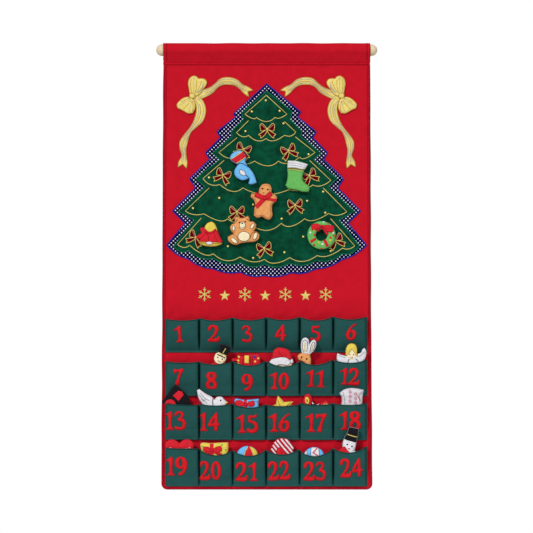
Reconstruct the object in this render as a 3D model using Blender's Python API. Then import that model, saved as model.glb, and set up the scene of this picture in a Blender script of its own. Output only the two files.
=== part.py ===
"""A fabric advent calendar that hangs from a wooden rod.

The frame is in metres. +X is to the right of someone who faces the calendar, -Y comes out of the
wall towards them and +Z is up. The origin is the middle of the rod, on its axis. Outlines are
traced in pixels of the photograph, and PIXEL says how long one pixel is on the cloth.
"""
import math

import bmesh
import bpy
from mathutils import Matrix, Vector

# Scale and running clearances
PIXEL = 0.00216
ROD_AXIS_PX = (266.75, 50.0)
GAP = 0.0003

# Rod and the sleeve that it runs through
ROD_DIAMETER = 0.0254
ROD_LENGTH = 0.478
ROD_SIDES = 24
DOME_STEPS = 4
SLEEVE_CLOTH = 0.0016
SLEEVE_WIDTH = 0.447
SEAM_DROP = 0.0313
SEAM_TAB = 0.0033
SLEEVE_SIDES = 16

# Banner: cloth, wadding and cloth, bound along three edges
BANNER_BOTTOM_WIDTH = 0.456
BANNER_DROP = 0.9498
BANNER_CORNER = 0.010
CORNER_STEPS = 4
WADDING = 0.0020
CLOTH = 0.0010
BINDING_CLOTH = 0.0008
BINDING_WIDTH = 0.006

# Appliqué tree on its dotted border
BORDER_CLOTH = 0.0008
TREE_CLOTH = 0.0012
BORDER_EDGE_PX = [(0, 83.9), (34, 112), (31, 117), (49.6, 131.8), (46, 137.7), (61, 152.6), (57, 159.3),
                  (77, 178.8), (71, 187.8), (94, 211), (81.5, 223.2), (100, 245.2)]
TREE_EDGE_PX = [(0, 91), (25.5, 111.6), (23, 119), (36.4, 133.8), (34, 136.8), (54.5, 152.7), (48, 159.3),
                (70.4, 178), (62.5, 186.5), (87.9, 210), (74.5, 218.5), (92.8, 246)]
BORDER_SKIRT_PX = 275.0
TREE_SKIRT_PX = 265.5
BORDER_SCALLOP_PX = 1.8
TREE_SCALLOP_PX = 3.2
SCALLOPS = 8
SCALLOP_STEPS = 3
BEAD_DIAMETER = 0.005
BEAD_STANDS_OUT = 0.0035
BEAD_SEGMENTS = 8
BEAD_RINGS = 6
BEAD_PX = [(265.8, 100.4), (251.8, 111.6), (279.6, 110.9), (235.4, 157.8), (283.4, 123.4), (308.5, 154.4),
           (209.1, 177.6), (219.3, 198.0), (193.0, 208.2), (253.2, 204.6), (323.1, 191.7), (307.1, 200.9),
           (325.2, 212.8), (281.6, 218.7), (228.0, 246.2), (253.2, 258.0), (303.3, 236.7), (284.4, 252.3),
           (330.6, 251.0), (245.5, 131.3), (211.7, 225.0), (266.4, 187.4), (241.0, 220.6), (321.0, 225.3), (296.6, 164.2)]

# Satin ribbon bows at the top corners
RIBBON_CLOTH = 0.0010
RIBBON_UPPER_LOOP_PX = [(190.5, 96.0), (188.4, 90.0), (188.4, 82.0), (193.0, 76.0), (198.5, 78.7), (204.5, 79.4),
                        (206.2, 83.4), (202.5, 89.0)]
RIBBON_LOWER_LOOP_PX = [(190.8, 104.5), (195.8, 108.8), (193.8, 112.2), (189.8, 113.2), (185.0, 111.0),
                        (178.4, 108.2), (177.0, 104.2), (180.4, 99.5), (186.8, 95.8)]
RIBBON_ACROSS_PX = [(205.2, 93.0, 7.0), (211.2, 90.1, 6.0), (216.6, 85.4, 4.5), (221.9, 81.7, 6.5),
                    (229.3, 81.0, 7.0), (236.0, 82.7, 6.0), (240.7, 87.4, 5.0), (244.6, 90.6, 7.0)]
RIBBON_DOWN_PX = [(200.0, 102.4, 7.5), (202.5, 110.2, 9.5), (200.5, 119.6, 8.6), (193.8, 126.9, 4.0),
                  (187.8, 135.0, 6.0), (183.8, 142.3, 7.6), (183.1, 149.0, 6.0), (184.4, 156.4, 5.0),
                  (184.2, 161.8, 7.0)]
RIBBON_TAIL_PX = 5.2
RIBBON_NOTCH_PX = 2.4

# Ten padded bows on the tree: centre in pixels and turn in degrees
BOW_PADDING = 0.0015
BOW_WIDTH = 0.037
BOW_HEIGHT = 0.033
BOW_HALF_SHARES = [(0.00, 0.30), (0.16, 0.44), (0.40, 0.50), (0.50, 0.34), (0.48, 0.08), (0.34, -0.06),
                   (0.16, -0.06), (0.40, -0.36), (0.30, -0.50), (0.12, -0.40), (0.00, -0.14)]
BOW_PLACES_PX = [(267.3, 129.0, 0), (243.6, 148.6, -20), (288.1, 150.1, 20), (223.6, 173.5, -20),
                 (309.6, 173.8, 25), (236.6, 211.0, 0), (295.1, 204.9, 5), (193.8, 235.2, -20),
                 (264.2, 248.0, 10), (335.9, 239.3, 20)]

# Four rows of six pleated pockets
POCKET_CLOTH = 0.0014
POCKET_COUNT = 6
POCKET_PITCH = 0.0723
ROW_OFFSET = -0.0012
ROW_FLANGE = 0.0012
SLOT_WIDTH = 0.0050
PLEAT_LEAN = 0.0009
PLEAT_TUCK = 0.0018
POCKET_BULGE = 0.0195
FIRST_MOUTH_DROP = 0.5802
ROW_PITCH = 0.0935
ROW_HEIGHTS = [0.0735, 0.0735, 0.0750, 0.0818]
MOUTH_SAGS = [0.0045, 0.0085, 0.0055, 0.0125]
BULGE_SHARES = [(0.00, 0.0), (0.06, 0.0), (0.22, 0.40), (0.50, 0.80), (1.00, 1.0)]
FRONT_SHARES = [-0.8, 0.0, 0.8]
CORNER_SHARE = 0.90

# Stuffed ornaments
STUFFING = 0.0110
SEAM_INSET = 0.0009
DOME_INSET = 0.0022
SHOULDER_SHARE = 0.62
TRIM_CLOTH = 0.0012
SEAT_DEPTH = 0.0420
SEAT_PLAY = GAP
SNOWMAN_LIP_SHARE = 0.60

HORN_PX = [(240.8, 150.9), (235.3, 151.8), (231.8, 154.1), (230.1, 157.6), (230.6, 159.8), (235.6, 163.7),
           (237.9, 164.8), (236.0, 167.6), (234.4, 171.2), (234.6, 174.6), (236.2, 177.2), (238.8, 179.1),
           (242.8, 180.5), (246.4, 179.6), (249.2, 178.6), (249.2, 180.8), (248.4, 183.7), (251.0, 184.6),
           (256.8, 182.9), (255.9, 179.7), (254.7, 176.2), (252.7, 172.1), (249.8, 168.6), (247.2, 165.5),
           (245.4, 160.4), (246.3, 157.6), (243.4, 152.4)]
HORN_BAND_PX = [(232.2, 159.3), (235.8, 163.2), (245.6, 158.6), (242.8, 153.2)]
STOCKING_PX = [(287.8, 160.8), (298.0, 161.3), (307.8, 164.5), (305.0, 169.3), (303.7, 171.2), (302.5, 176.5),
               (302.4, 179.5), (304.5, 183.0), (308.6, 186.3), (309.5, 189.0), (308.3, 192.0), (302.0, 191.8),
               (293.5, 189.7), (288.5, 188.8), (285.5, 185.4), (286.8, 182.0), (287.8, 175.0), (287.4, 169.5)]
STOCKING_CUFF_PX = [(287.9, 161.2), (298.0, 161.8), (307.4, 164.9), (304.8, 168.6), (295.6, 167.4), (287.5, 167.6)]
GINGERBREAD_PX = [(265.8, 183.9), (269.8, 184.7), (271.5, 188.2), (271.3, 192.9), (276.2, 196.1), (276.9, 198.9),
                  (275.0, 201.8), (272.6, 204.2), (271.9, 210.2), (272.4, 215.6), (269.5, 219.8), (266.2, 219.2),
                  (262.0, 216.7), (257.4, 217.8), (254.0, 215.6), (254.5, 209.0), (255.2, 203.7), (254.0, 200.2),
                  (250.6, 196.9), (251.6, 193.6), (258.6, 194.0), (259.5, 188.8), (261.9, 185.0)]
GINGERBREAD_BOW_PX = [(255.0, 194.0), (258.4, 194.2), (264.2, 197.0), (268.9, 194.1), (271.0, 192.8), (272.1, 195.0),
                      (269.0, 198.1), (276.0, 200.1), (275.8, 201.7), (268.0, 200.3), (264.6, 200.6), (260.6, 205.2),
                      (258.0, 208.4), (255.2, 207.0), (258.7, 203.1), (261.8, 199.6), (257.8, 198.0), (254.8, 196.4)]
BEAR_PX = [(234.8, 217.9), (237.0, 216.6), (240.4, 218.0), (245.0, 217.6), (247.8, 215.9), (249.4, 218.2),
           (249.7, 221.5), (253.4, 221.8), (256.2, 224.6), (255.8, 227.6), (253.9, 231.4), (257.2, 232.2),
           (259.5, 235.2), (258.6, 239.0), (255.0, 241.4), (248.3, 242.1), (240.5, 243.2), (236.3, 244.8),
           (231.6, 243.6), (228.2, 240.4), (227.9, 236.8), (231.0, 234.7), (234.0, 233.6), (231.0, 230.6),
           (230.0, 227.0), (232.0, 224.4), (234.9, 223.4)]
WREATH_CENTRE_PX = (321.4, 235.2)
WREATH_DIAMETER = 0.0605
WREATH_HOLE = 0.0250
WREATH_STUFFING = 0.0090
WREATH_SIDES = 24
WREATH_TUBE_SIDES = 6
WREATH_BOW_PX = [(310.6, 228.9), (311.0, 225.8), (315.8, 223.8), (320.4, 222.3), (322.9, 224.5), (328.6, 224.7),
                 (333.4, 227.6), (334.4, 231.2), (330.9, 232.2), (328.4, 234.7), (326.4, 233.6), (324.2, 230.3),
                 (321.0, 228.7), (318.4, 230.4), (315.6, 229.4)]
BELL_PX = [(211.7, 221.6), (214.8, 223.8), (216.5, 227.0), (218.3, 232.5), (220.5, 238.0), (222.3, 241.8),
           (221.6, 244.2), (216.5, 246.0), (211.0, 246.5), (205.5, 245.9), (200.4, 243.9), (199.3, 241.6),
           (201.5, 236.5), (203.8, 231.5), (204.8, 227.0), (207.6, 223.2)]
BELL_BOW_PX = [(200.0, 229.4), (201.5, 227.4), (204.8, 228.0), (207.8, 231.0), (211.5, 232.4), (216.0, 229.8),
               (217.6, 231.6), (219.4, 236.0), (221.2, 240.2), (210.5, 241.4), (200.6, 241.6), (201.8, 238.6),
               (197.4, 239.2), (196.5, 236.8), (200.0, 234.9), (203.8, 233.4)]
SOLDIER_PX = [(220.6, 343.8), (226.0, 345.0), (231.0, 347.0), (229.6, 351.6), (227.4, 355.6), (226.4, 358.6),
              (224.6, 362.2), (228.6, 365.5), (229.0, 373.0), (227.5, 380.9), (216.0, 381.2), (205.0, 380.9),
              (203.4, 373.0), (205.5, 366.0), (213.5, 362.6), (214.2, 357.2), (215.8, 353.4), (218.4, 351.0)]
SLEIGH_PX = [(237.0, 354.0), (241.0, 355.5), (249.0, 354.3), (258.0, 353.5), (260.2, 356.0), (260.4, 361.0),
             (262.0, 367.0), (261.4, 375.0), (257.0, 380.8), (246.0, 381.2), (238.0, 380.0), (236.4, 371.0),
             (236.4, 361.2), (231.9, 361.0), (231.9, 358.2), (237.6, 358.0)]
FATHER_CHRISTMAS_PX = [(271.8, 357.3), (273.5, 350.8), (277.0, 347.8), (281.0, 347.5), (289.0, 350.5),
                       (291.3, 356.0), (293.3, 360.5), (293.5, 367.0), (292.4, 374.0), (288.0, 379.8),
                       (281.5, 381.2), (275.0, 379.6), (270.8, 373.0), (269.2, 366.0), (269.0, 361.5)]
REINDEER_PX = [(296.6, 357.2), (298.4, 354.2), (301.6, 352.4), (300.8, 346.0), (301.2, 341.0), (303.2, 337.8),
               (306.0, 337.2), (308.4, 339.2), (309.4, 343.4), (311.6, 340.4), (314.2, 339.2), (316.0, 341.4),
               (315.8, 346.0), (313.6, 350.6), (310.4, 354.0), (311.0, 359.0), (311.2, 364.4), (313.6, 368.8),
               (323.6, 371.0), (326.2, 375.6), (324.6, 380.8), (314.0, 381.2), (305.2, 380.6), (303.9, 371.0),
               (303.9, 362.4), (300.9, 360.4), (297.4, 359.0)]
ANGEL_PX = [(351.2, 343.0), (355.0, 344.4), (356.8, 348.6), (356.6, 353.6), (360.4, 352.4), (362.4, 348.6),
            (364.4, 347.6), (366.0, 350.6), (365.4, 357.0), (362.8, 362.4), (360.6, 368.0), (360.6, 376.0),
            (357.2, 380.9), (350.0, 381.2), (342.8, 380.9), (340.0, 375.0), (340.0, 368.0), (337.4, 363.0),
            (336.4, 357.0), (337.2, 352.6), (340.4, 354.2), (345.4, 355.4), (345.6, 349.0), (347.6, 344.6)]
ENGINE_PX = [(176.0, 384.0), (183.5, 390.5), (188.8, 396.6), (190.2, 402.2), (192.0, 408.0), (192.0, 418.0),
             (189.0, 424.0), (180.0, 424.5), (171.6, 424.0), (169.4, 416.0), (169.2, 404.0), (163.0, 403.4),
             (162.2, 401.4), (168.0, 393.5), (172.5, 387.5)]
DOVE_PX = [(197.0, 389.8), (199.6, 388.6), (206.6, 393.6), (212.6, 396.8), (214.6, 399.4), (217.0, 396.6),
           (222.2, 396.6), (224.6, 399.2), (227.6, 401.6), (226.0, 405.5), (226.5, 412.0), (223.0, 420.0),
           (214.6, 424.5), (207.0, 420.5), (203.4, 412.0), (202.8, 405.0), (198.6, 397.6)]
BLUE_GIFT_PX = [(234.4, 400.2), (235.8, 397.9), (242.4, 399.2), (247.5, 399.4), (253.0, 399.0), (258.8, 398.2),
                (258.4, 402.6), (259.6, 410.0), (261.0, 423.6), (248.5, 424.5), (237.4, 423.8), (236.4, 410.0),
                (235.6, 404.0)]
BLUE_GIFT_BOW_PX = [(236.0, 403.0), (237.0, 401.4), (240.6, 402.0), (244.6, 403.6), (246.8, 403.4), (250.6, 401.0),
                    (253.4, 400.8), (254.4, 402.6), (252.6, 404.4), (245.6, 405.2), (238.0, 404.2)]
STAR_CENTRE_PX = (281.4, 408.6)
STAR_RADIUS = 0.0292
STAR_WAIST_SHARE = 0.52
STAR_TURN = 15.0
STAR_POINTS = 5
MITTENS_PX = [(303.4, 399.0), (305.0, 394.8), (308.5, 393.2), (311.2, 396.4), (312.2, 402.2), (316.2, 404.2),
              (320.6, 402.6), (325.8, 400.0), (328.8, 402.6), (328.8, 410.0), (327.4, 418.0), (323.4, 424.2),
              (315.6, 424.5), (307.4, 423.8), (304.2, 416.0), (303.4, 408.0)]
POUCH_PX = [(339.2, 392.6), (343.9, 389.2), (350.3, 387.7), (357.0, 388.2), (363.4, 389.6), (362.4, 395.0),
            (362.0, 402.4), (362.6, 411.0), (361.6, 419.0), (356.0, 424.0), (349.0, 424.5), (342.6, 423.8),
            (338.4, 418.0), (338.2, 410.0), (341.4, 402.6), (341.4, 397.0)]
HEART_PX = [(179.6, 442.8), (184.0, 439.5), (189.5, 439.2), (193.6, 442.6), (193.8, 447.4), (190.5, 453.8),
            (184.8, 461.2), (180.4, 467.6), (175.6, 461.6), (171.2, 455.4), (168.8, 449.6), (165.6, 445.8),
            (166.2, 441.4), (170.0, 439.2), (175.6, 439.8)]
YELLOW_GIFT_PX = [(200.6, 444.0), (202.2, 442.6), (210.0, 443.0), (214.5, 442.8), (221.0, 442.4), (228.0, 442.2),
                  (228.2, 448.0), (227.6, 455.0), (229.0, 466.6), (216.0, 467.7), (204.0, 467.0), (203.2, 456.0),
                  (201.6, 449.6)]
YELLOW_GIFT_BOW_PX = [(203.4, 447.0), (205.6, 445.2), (211.0, 446.6), (212.6, 444.6), (214.6, 444.6), (215.6, 446.4),
                      (220.0, 445.6), (223.6, 447.4), (220.6, 450.0), (213.4, 450.8), (207.0, 450.4)]
PANEL_BALL_PX = (247.4, 456.6)
PANEL_BALL_DIAMETER = 0.0480
STRIPED_BALL_PX = (282.3, 449.2)
STRIPED_BALL_DIAMETER = 0.0500
STRIPED_BALL_BOW_PX = [(276.8, 449.0), (278.6, 445.8), (282.2, 446.8), (285.6, 446.2), (288.0, 449.4), (285.0, 452.4),
                       (278.6, 452.4)]
BLUE_BALL_PX = (314.0, 457.6)
BLUE_BALL_DIAMETER = 0.0470
BALL_SIDES = 20
SNOWMAN_PX = [(349.0, 426.3), (358.2, 428.2), (357.3, 435.4), (356.0, 441.8), (355.2, 446.6), (354.2, 450.2),
              (359.4, 454.4), (360.6, 461.0), (356.6, 466.6), (349.4, 467.6), (342.2, 466.6), (338.6, 460.5),
              (339.8, 454.4), (343.6, 450.8), (342.4, 446.2), (342.8, 441.4), (344.2, 437.4), (346.8, 432.6)]
SNOWMAN_SCARF_PX = [(342.4, 447.8), (346.8, 447.2), (354.6, 446.0), (356.4, 448.2), (350.0, 450.0), (345.0, 450.6)]

# Layers of the banner, from its middle outwards
CORE_FACE = WADDING / 2
PANEL_BACK = -CORE_FACE - GAP
PANEL_FACE = PANEL_BACK - CLOTH
BINDING_INNER = PANEL_FACE - GAP
BINDING_FACE = BINDING_INNER - BINDING_CLOTH
BORDER_BACK = PANEL_FACE - GAP
BORDER_FACE = BORDER_BACK - BORDER_CLOTH
TREE_BACK = BORDER_FACE - GAP
TREE_FACE = TREE_BACK - TREE_CLOTH
BOW_BACK = TREE_FACE - GAP
BEAD_FACE = TREE_FACE - BEAD_STANDS_OUT
BANNER_TOP = -SEAM_DROP - GAP
HINGE = (0.0, BINDING_FACE, -SEAM_DROP - GAP / 2)

CALICO_RED = (0.50, 0.012, 0.020)


def clear_scene():
    """Start from an empty scene."""
    for obj in list(bpy.data.objects):
        bpy.data.objects.remove(obj, do_unlink=True)


def material(name, colour, roughness=0.9, metallic=0.0):
    """Return the named Principled material, made on first use."""
    found = bpy.data.materials.get(name)
    if found:
        return found
    made = bpy.data.materials.new(name)
    made.use_nodes = True
    shader = made.node_tree.nodes["Principled BSDF"]
    shader.inputs["Base Color"].default_value = (*colour, 1.0)
    shader.inputs["Roughness"].default_value = roughness
    shader.inputs["Metallic"].default_value = metallic
    return made


def add_object(name, bm, look, parent=None, place=None):
    """Turn a bmesh into a closed, outward-facing object under its parent."""
    bmesh.ops.recalc_face_normals(bm, faces=bm.faces)
    mesh = bpy.data.meshes.new(name)
    bm.to_mesh(mesh)
    bm.free()
    mesh.materials.append(look)
    obj = bpy.data.objects.new(name, mesh)
    bpy.context.collection.objects.link(obj)
    if parent:
        obj.parent = parent
        obj.matrix_parent_inverse = parent.matrix_world.inverted()
    if place is not None:
        obj.matrix_world = place
    bpy.context.view_layer.update()
    return obj


def add_pivot(name, at, parent=None):
    """Return an empty on a joint's axis."""
    pivot = bpy.data.objects.new(name, None)
    bpy.context.collection.objects.link(pivot)
    pivot.location = at
    bpy.context.view_layer.update()
    if parent:
        pivot.parent = parent
        pivot.matrix_parent_inverse = parent.matrix_world.inverted()
        bpy.context.view_layer.update()
    return pivot


def spot(x_px, y_px):
    """Return the place on the cloth, (x, z), of a point in the photograph."""
    return ((x_px - ROD_AXIS_PX[0]) * PIXEL, (ROD_AXIS_PX[1] - y_px) * PIXEL)


def traced(points_px):
    """Return the outline of a list of points in the photograph."""
    return [spot(x, y) for x, y in points_px]


def circle(centre, radius, sides):
    """Return a regular outline round a centre."""
    return [(centre[0] + radius * math.cos(math.tau * k / sides),
             centre[1] + radius * math.sin(math.tau * k / sides)) for k in range(sides)]


def mirrored(half):
    """Close a right half outline, listed from top to bottom, with its left half."""
    left = [(-x, z) for x, z in reversed(half) if x > 0]
    return list(half) + left


def plate(loops, back, face):
    """Return a flat piece between two depths, its outline and any holes as loops."""
    bm = bmesh.new()
    edges = []
    for loop in loops:
        verts = [bm.verts.new((x, back, z)) for x, z in loop]
        edges += [bm.edges.new((verts[k - 1], verts[k])) for k in range(len(verts))]
    made = bmesh.ops.triangle_fill(bm, use_beauty=True, use_dissolve=False, edges=edges)
    faces = [g for g in made["geom"] if isinstance(g, bmesh.types.BMFace)]
    grown = bmesh.ops.extrude_face_region(bm, geom=faces)
    moved = [g for g in grown["geom"] if isinstance(g, bmesh.types.BMVert)]
    bmesh.ops.translate(bm, vec=(0, face - back, 0), verts=moved)
    return bm


def padded(outline, back, face):
    """Return an appliqué piece with a flat back, an upright edge and a softened front."""
    depth = back - face
    bm = bmesh.new()
    base = bm.faces.new([bm.verts.new((x, back, z)) for x, z in outline])
    grown = bmesh.ops.extrude_face_region(bm, geom=[base])
    front = [g for g in grown["geom"] if isinstance(g, bmesh.types.BMFace)][0]
    bmesh.ops.translate(bm, vec=(0, -depth * SHOULDER_SHARE, 0), verts=front.verts)
    bmesh.ops.recalc_face_normals(bm, faces=bm.faces)
    bmesh.ops.inset_region(bm, faces=[front], thickness=SEAM_INSET, depth=depth * (1 - SHOULDER_SHARE),
                           use_even_offset=False)
    return bm


def stuffed(outline, thickness):
    """Return a pillow of the outline about y = 0, seamed round its edge and swelling to a flat crown."""
    bm = bmesh.new()
    crown = bm.faces.new([bm.verts.new((x, 0, z)) for x, z in outline])
    crown.normal_update()
    if crown.normal.y > 0:
        crown.normal_flip()
    rise = thickness / 2
    for inset, share in ((SEAM_INSET, SHOULDER_SHARE), (DOME_INSET, 1 - SHOULDER_SHARE)):
        bmesh.ops.inset_region(bm, faces=[crown], thickness=inset, depth=rise * share, use_boundary=True,
                               use_even_offset=False)
    copied = bmesh.ops.duplicate(bm, geom=bm.verts[:] + bm.edges[:] + bm.faces[:])
    back = [g for g in copied["geom"] if isinstance(g, bmesh.types.BMVert)]
    bmesh.ops.scale(bm, vec=(1, -1, 1), verts=back)
    bmesh.ops.remove_doubles(bm, verts=bm.verts, dist=SEAM_INSET / 100)
    return bm


def smooth(obj, angle=35):
    """Shade a round piece smooth, keeping its sharp edges."""
    obj.data.shade_smooth()
    obj.data.set_sharp_from_angle(angle=math.radians(angle))


def make_rod():
    """Model the round wooden rod with its domed ends."""
    radius = ROD_DIAMETER / 2
    straight = ROD_LENGTH / 2 - radius
    arc = [math.pi / 2 * k / DOME_STEPS for k in range(DOME_STEPS + 1)]
    right = [(straight + radius * math.sin(a), radius * math.cos(a)) for a in arc]
    profile = [(-x, z) for x, z in reversed(right)] + right
    bm = bmesh.new()
    verts = [bm.verts.new((x, 0, z)) for x, z in profile]
    edges = [bm.edges.new(pair) for pair in zip(verts, verts[1:])]
    bmesh.ops.spin(bm, geom=verts + edges, cent=(0, 0, 0), axis=(1, 0, 0), angle=math.tau,
                   steps=ROD_SIDES, use_duplicate=False)
    bmesh.ops.remove_doubles(bm, verts=bm.verts, dist=GAP / 10)
    rod = add_object("hanging_rod", bm, material("wood", (0.72, 0.58, 0.42), 0.6))
    smooth(rod)
    return rod


def make_sleeve(parent):
    """Model the cloth tunnel: round over the rod, drawn together to the seam tab below."""
    inner = ROD_DIAMETER / 2 + GAP
    outer = inner + SLEEVE_CLOTH
    tab = -PANEL_FACE
    pocket_foot = SEAM_DROP - SEAM_TAB
    lean_in = math.asin(inner / pocket_foot)
    lean_out = math.asin((outer - tab) / pocket_foot)

    def over(radius, lean):
        first, last = -lean, math.pi + lean
        steps = [first + (last - first) * k / SLEEVE_SIDES for k in range(SLEEVE_SIDES + 1)]
        return [(radius * math.cos(a), radius * math.sin(a)) for a in steps]

    outside = over(outer, lean_out) + [(-tab, -pocket_foot), (-tab, -SEAM_DROP), (tab, -SEAM_DROP),
                                       (tab, -pocket_foot)]
    inside = over(inner, lean_in) + [(0, -pocket_foot)]
    bm = plate([outside, inside], -SLEEVE_WIDTH / 2, SLEEVE_WIDTH / 2)
    turn = Matrix(((0, 1, 0), (1, 0, 0), (0, 0, 1)))
    bmesh.ops.transform(bm, matrix=turn.to_4x4(), verts=bm.verts)
    sleeve = add_object("rod_sleeve", bm, material("calico_red", CALICO_RED), parent)
    smooth(sleeve, 60)


def half_width(z, inset=0.0):
    """Return the banner's half width at a height: it widens evenly from the seam to its foot."""
    share = (z - BANNER_TOP) / (-BANNER_DROP - BANNER_TOP)
    return (SLEEVE_WIDTH + (BANNER_BOTTOM_WIDTH - SLEEVE_WIDTH) * share) / 2 - inset


def banner_edge(inset=0.0):
    """Return the banner's edge from its top right round its foot to its top left."""
    radius = BANNER_CORNER - inset
    foot = -BANNER_DROP + inset
    centre_z = foot + radius
    centre_x = half_width(centre_z, inset) - radius
    right = [(half_width(BANNER_TOP, inset), BANNER_TOP)]
    for k in range(CORNER_STEPS + 1):
        angle = math.pi / 2 * k / CORNER_STEPS
        right.append((centre_x + radius * math.cos(angle), centre_z - radius * math.sin(angle)))
    return right + [(-x, z) for x, z in reversed(right)]


def make_banner(parent):
    """Model the two cloths, the wadding between them and the binding round their edges."""
    edge = banner_edge(BINDING_CLOTH + GAP)
    red = material("calico_red", CALICO_RED)
    layers = {
        "front_panel": (PANEL_BACK, PANEL_FACE, red),
        "wadding": (CORE_FACE, -CORE_FACE, material("wadding", (0.85, 0.84, 0.80))),
        "backing": (-PANEL_FACE, -PANEL_BACK, material("backing_red", (0.42, 0.012, 0.020))),
    }
    for name, (back, face, look) in layers.items():
        add_object(name, plate([edge], back, face), look, parent)

    section = [(0.0, BINDING_FACE), (BINDING_WIDTH, BINDING_FACE), (BINDING_WIDTH, BINDING_INNER),
               (BINDING_CLOTH, BINDING_INNER), (BINDING_CLOTH, -BINDING_INNER),
               (BINDING_WIDTH, -BINDING_INNER), (BINDING_WIDTH, -BINDING_FACE), (0.0, -BINDING_FACE)]
    rails = [[(x, depth, z) for x, z in banner_edge(inset)] for inset, depth in section]
    bm = bmesh.new()
    rows = [[bm.verts.new(point) for point in rail] for rail in rails]
    for side in range(len(rows)):
        near, far = rows[side - 1], rows[side]
        for k in range(len(near) - 1):
            bm.faces.new((near[k], near[k + 1], far[k + 1], far[k]))
    bm.faces.new([row[0] for row in rows])
    bm.faces.new([row[-1] for row in reversed(rows)])
    add_object("edge_binding", bm, material("binding_red", (0.36, 0.008, 0.016)), parent)


def scalloped(edge_px, skirt_px, scallop_px):
    """Return a tree outline: stepped sides and a curved skirt of small scallops."""
    tip_x, tip_y = edge_px[-1]
    skirt = []
    count = SCALLOPS * SCALLOP_STEPS
    for k in range(1, count):
        x = tip_x * (1 - 2 * k / count)
        curve = skirt_px - (skirt_px - tip_y) * (x / tip_x) ** 2
        dip = scallop_px * math.sin(math.pi * (k % SCALLOP_STEPS) / SCALLOP_STEPS)
        skirt.append((x, curve + dip))
    left = [(-x, y) for x, y in reversed(edge_px) if x > 0]
    return traced([(ROD_AXIS_PX[0] + x, y) for x, y in edge_px + skirt + left])


def make_tree(parent):
    """Model the dotted border and the velvet tree with its beads."""
    border = plate([scalloped(BORDER_EDGE_PX, BORDER_SKIRT_PX, BORDER_SCALLOP_PX)], BORDER_BACK, BORDER_FACE)
    add_object("tree_border", border, material("dotted_navy", (0.012, 0.012, 0.05)), parent)

    tree = plate([scalloped(TREE_EDGE_PX, TREE_SKIRT_PX, TREE_SCALLOP_PX)], TREE_BACK, TREE_FACE)
    tree_obj = add_object("tree", tree, material("velvet_green", (0.010, 0.075, 0.035)), parent)
    radius = BEAD_DIAMETER / 2
    centre_y = TREE_FACE - (BEAD_STANDS_OUT - radius)
    beads = bmesh.new()
    for x_px, y_px in BEAD_PX:
        x, z = spot(x_px, y_px)
        upright = Matrix.Translation((x, centre_y, z)) @ Matrix.Rotation(math.pi / 2, 4, "X")
        bmesh.ops.create_uvsphere(beads, u_segments=BEAD_SEGMENTS, v_segments=BEAD_RINGS,
                                   radius=radius, matrix=upright)
    cutter = add_object("beads", beads, material("gold_bead", (0.75, 0.55, 0.18), 0.3, 0.9), parent)
    cutter.hide_render = True
    cutter.display_type = "WIRE"
    sewn = tree_obj.modifiers.new("beads sewn on", "BOOLEAN")
    sewn.operation = "UNION"
    sewn.solver = "EXACT"
    sewn.object = cutter


def strip_edges(line_px):
    """Return both edges of a ribbon from its centreline and widths, with a swallowtail end."""
    left, right = [], []
    for k, (x, y, width) in enumerate(line_px):
        before = line_px[max(k - 1, 0)]
        after = line_px[min(k + 1, len(line_px) - 1)]
        along = Vector((after[0] - before[0], after[1] - before[1])).normalized()
        side = Vector((along.y, -along.x)) * width / 2
        left.append((x + side.x, y + side.y))
        right.append((x - side.x, y - side.y))
    end = Vector(line_px[-1][:2])
    tail = along * RIBBON_TAIL_PX
    tips = [(left[-1][0] + tail.x, left[-1][1] + tail.y), tuple(end + along * RIBBON_NOTCH_PX),
            (right[-1][0] + tail.x, right[-1][1] + tail.y)]
    return left + tips + right[::-1]


def make_ribbons(parent):
    """Model the two satin bows, the right one the mirror of the left."""
    outline = traced(RIBBON_UPPER_LOOP_PX + strip_edges(RIBBON_ACROSS_PX) + strip_edges(RIBBON_DOWN_PX)
                     + RIBBON_LOWER_LOOP_PX)
    back = PANEL_FACE - GAP
    satin = material("satin_gold", (0.80, 0.60, 0.16), 0.45)
    for name, side in (("gold_ribbon_left", 1), ("gold_ribbon_right", -1)):
        shape = [(side * x, z) for x, z in outline]
        add_object(name, plate([shape], back, back - RIBBON_CLOTH), satin, parent)


def make_bows(parent):
    """Model the ten padded bows, each turned about its own centre."""
    shape = mirrored([(x * BOW_WIDTH, z * BOW_HEIGHT) for x, z in BOW_HALF_SHARES])
    look = material("bow_burgundy", (0.16, 0.008, 0.02), 0.7)
    for number, (x_px, y_px, turn) in enumerate(BOW_PLACES_PX, start=1):
        x, z = spot(x_px, y_px)
        place = Matrix.Translation((x, BOW_BACK, z)) @ Matrix.Rotation(math.radians(-turn), 4, "Y")
        add_object(f"bow_{number}", padded(shape, 0.0, -BOW_PADDING), look, parent, place)


def pocket_centre(column):
    """Return the middle of one pocket across the banner."""
    return ROW_OFFSET + (column - (POCKET_COUNT - 1) / 2) * POCKET_PITCH


def mouth_height(row):
    """Return the height of a row's mouth at its pleats."""
    return -FIRST_MOUTH_DROP - ROW_PITCH * row


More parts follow.
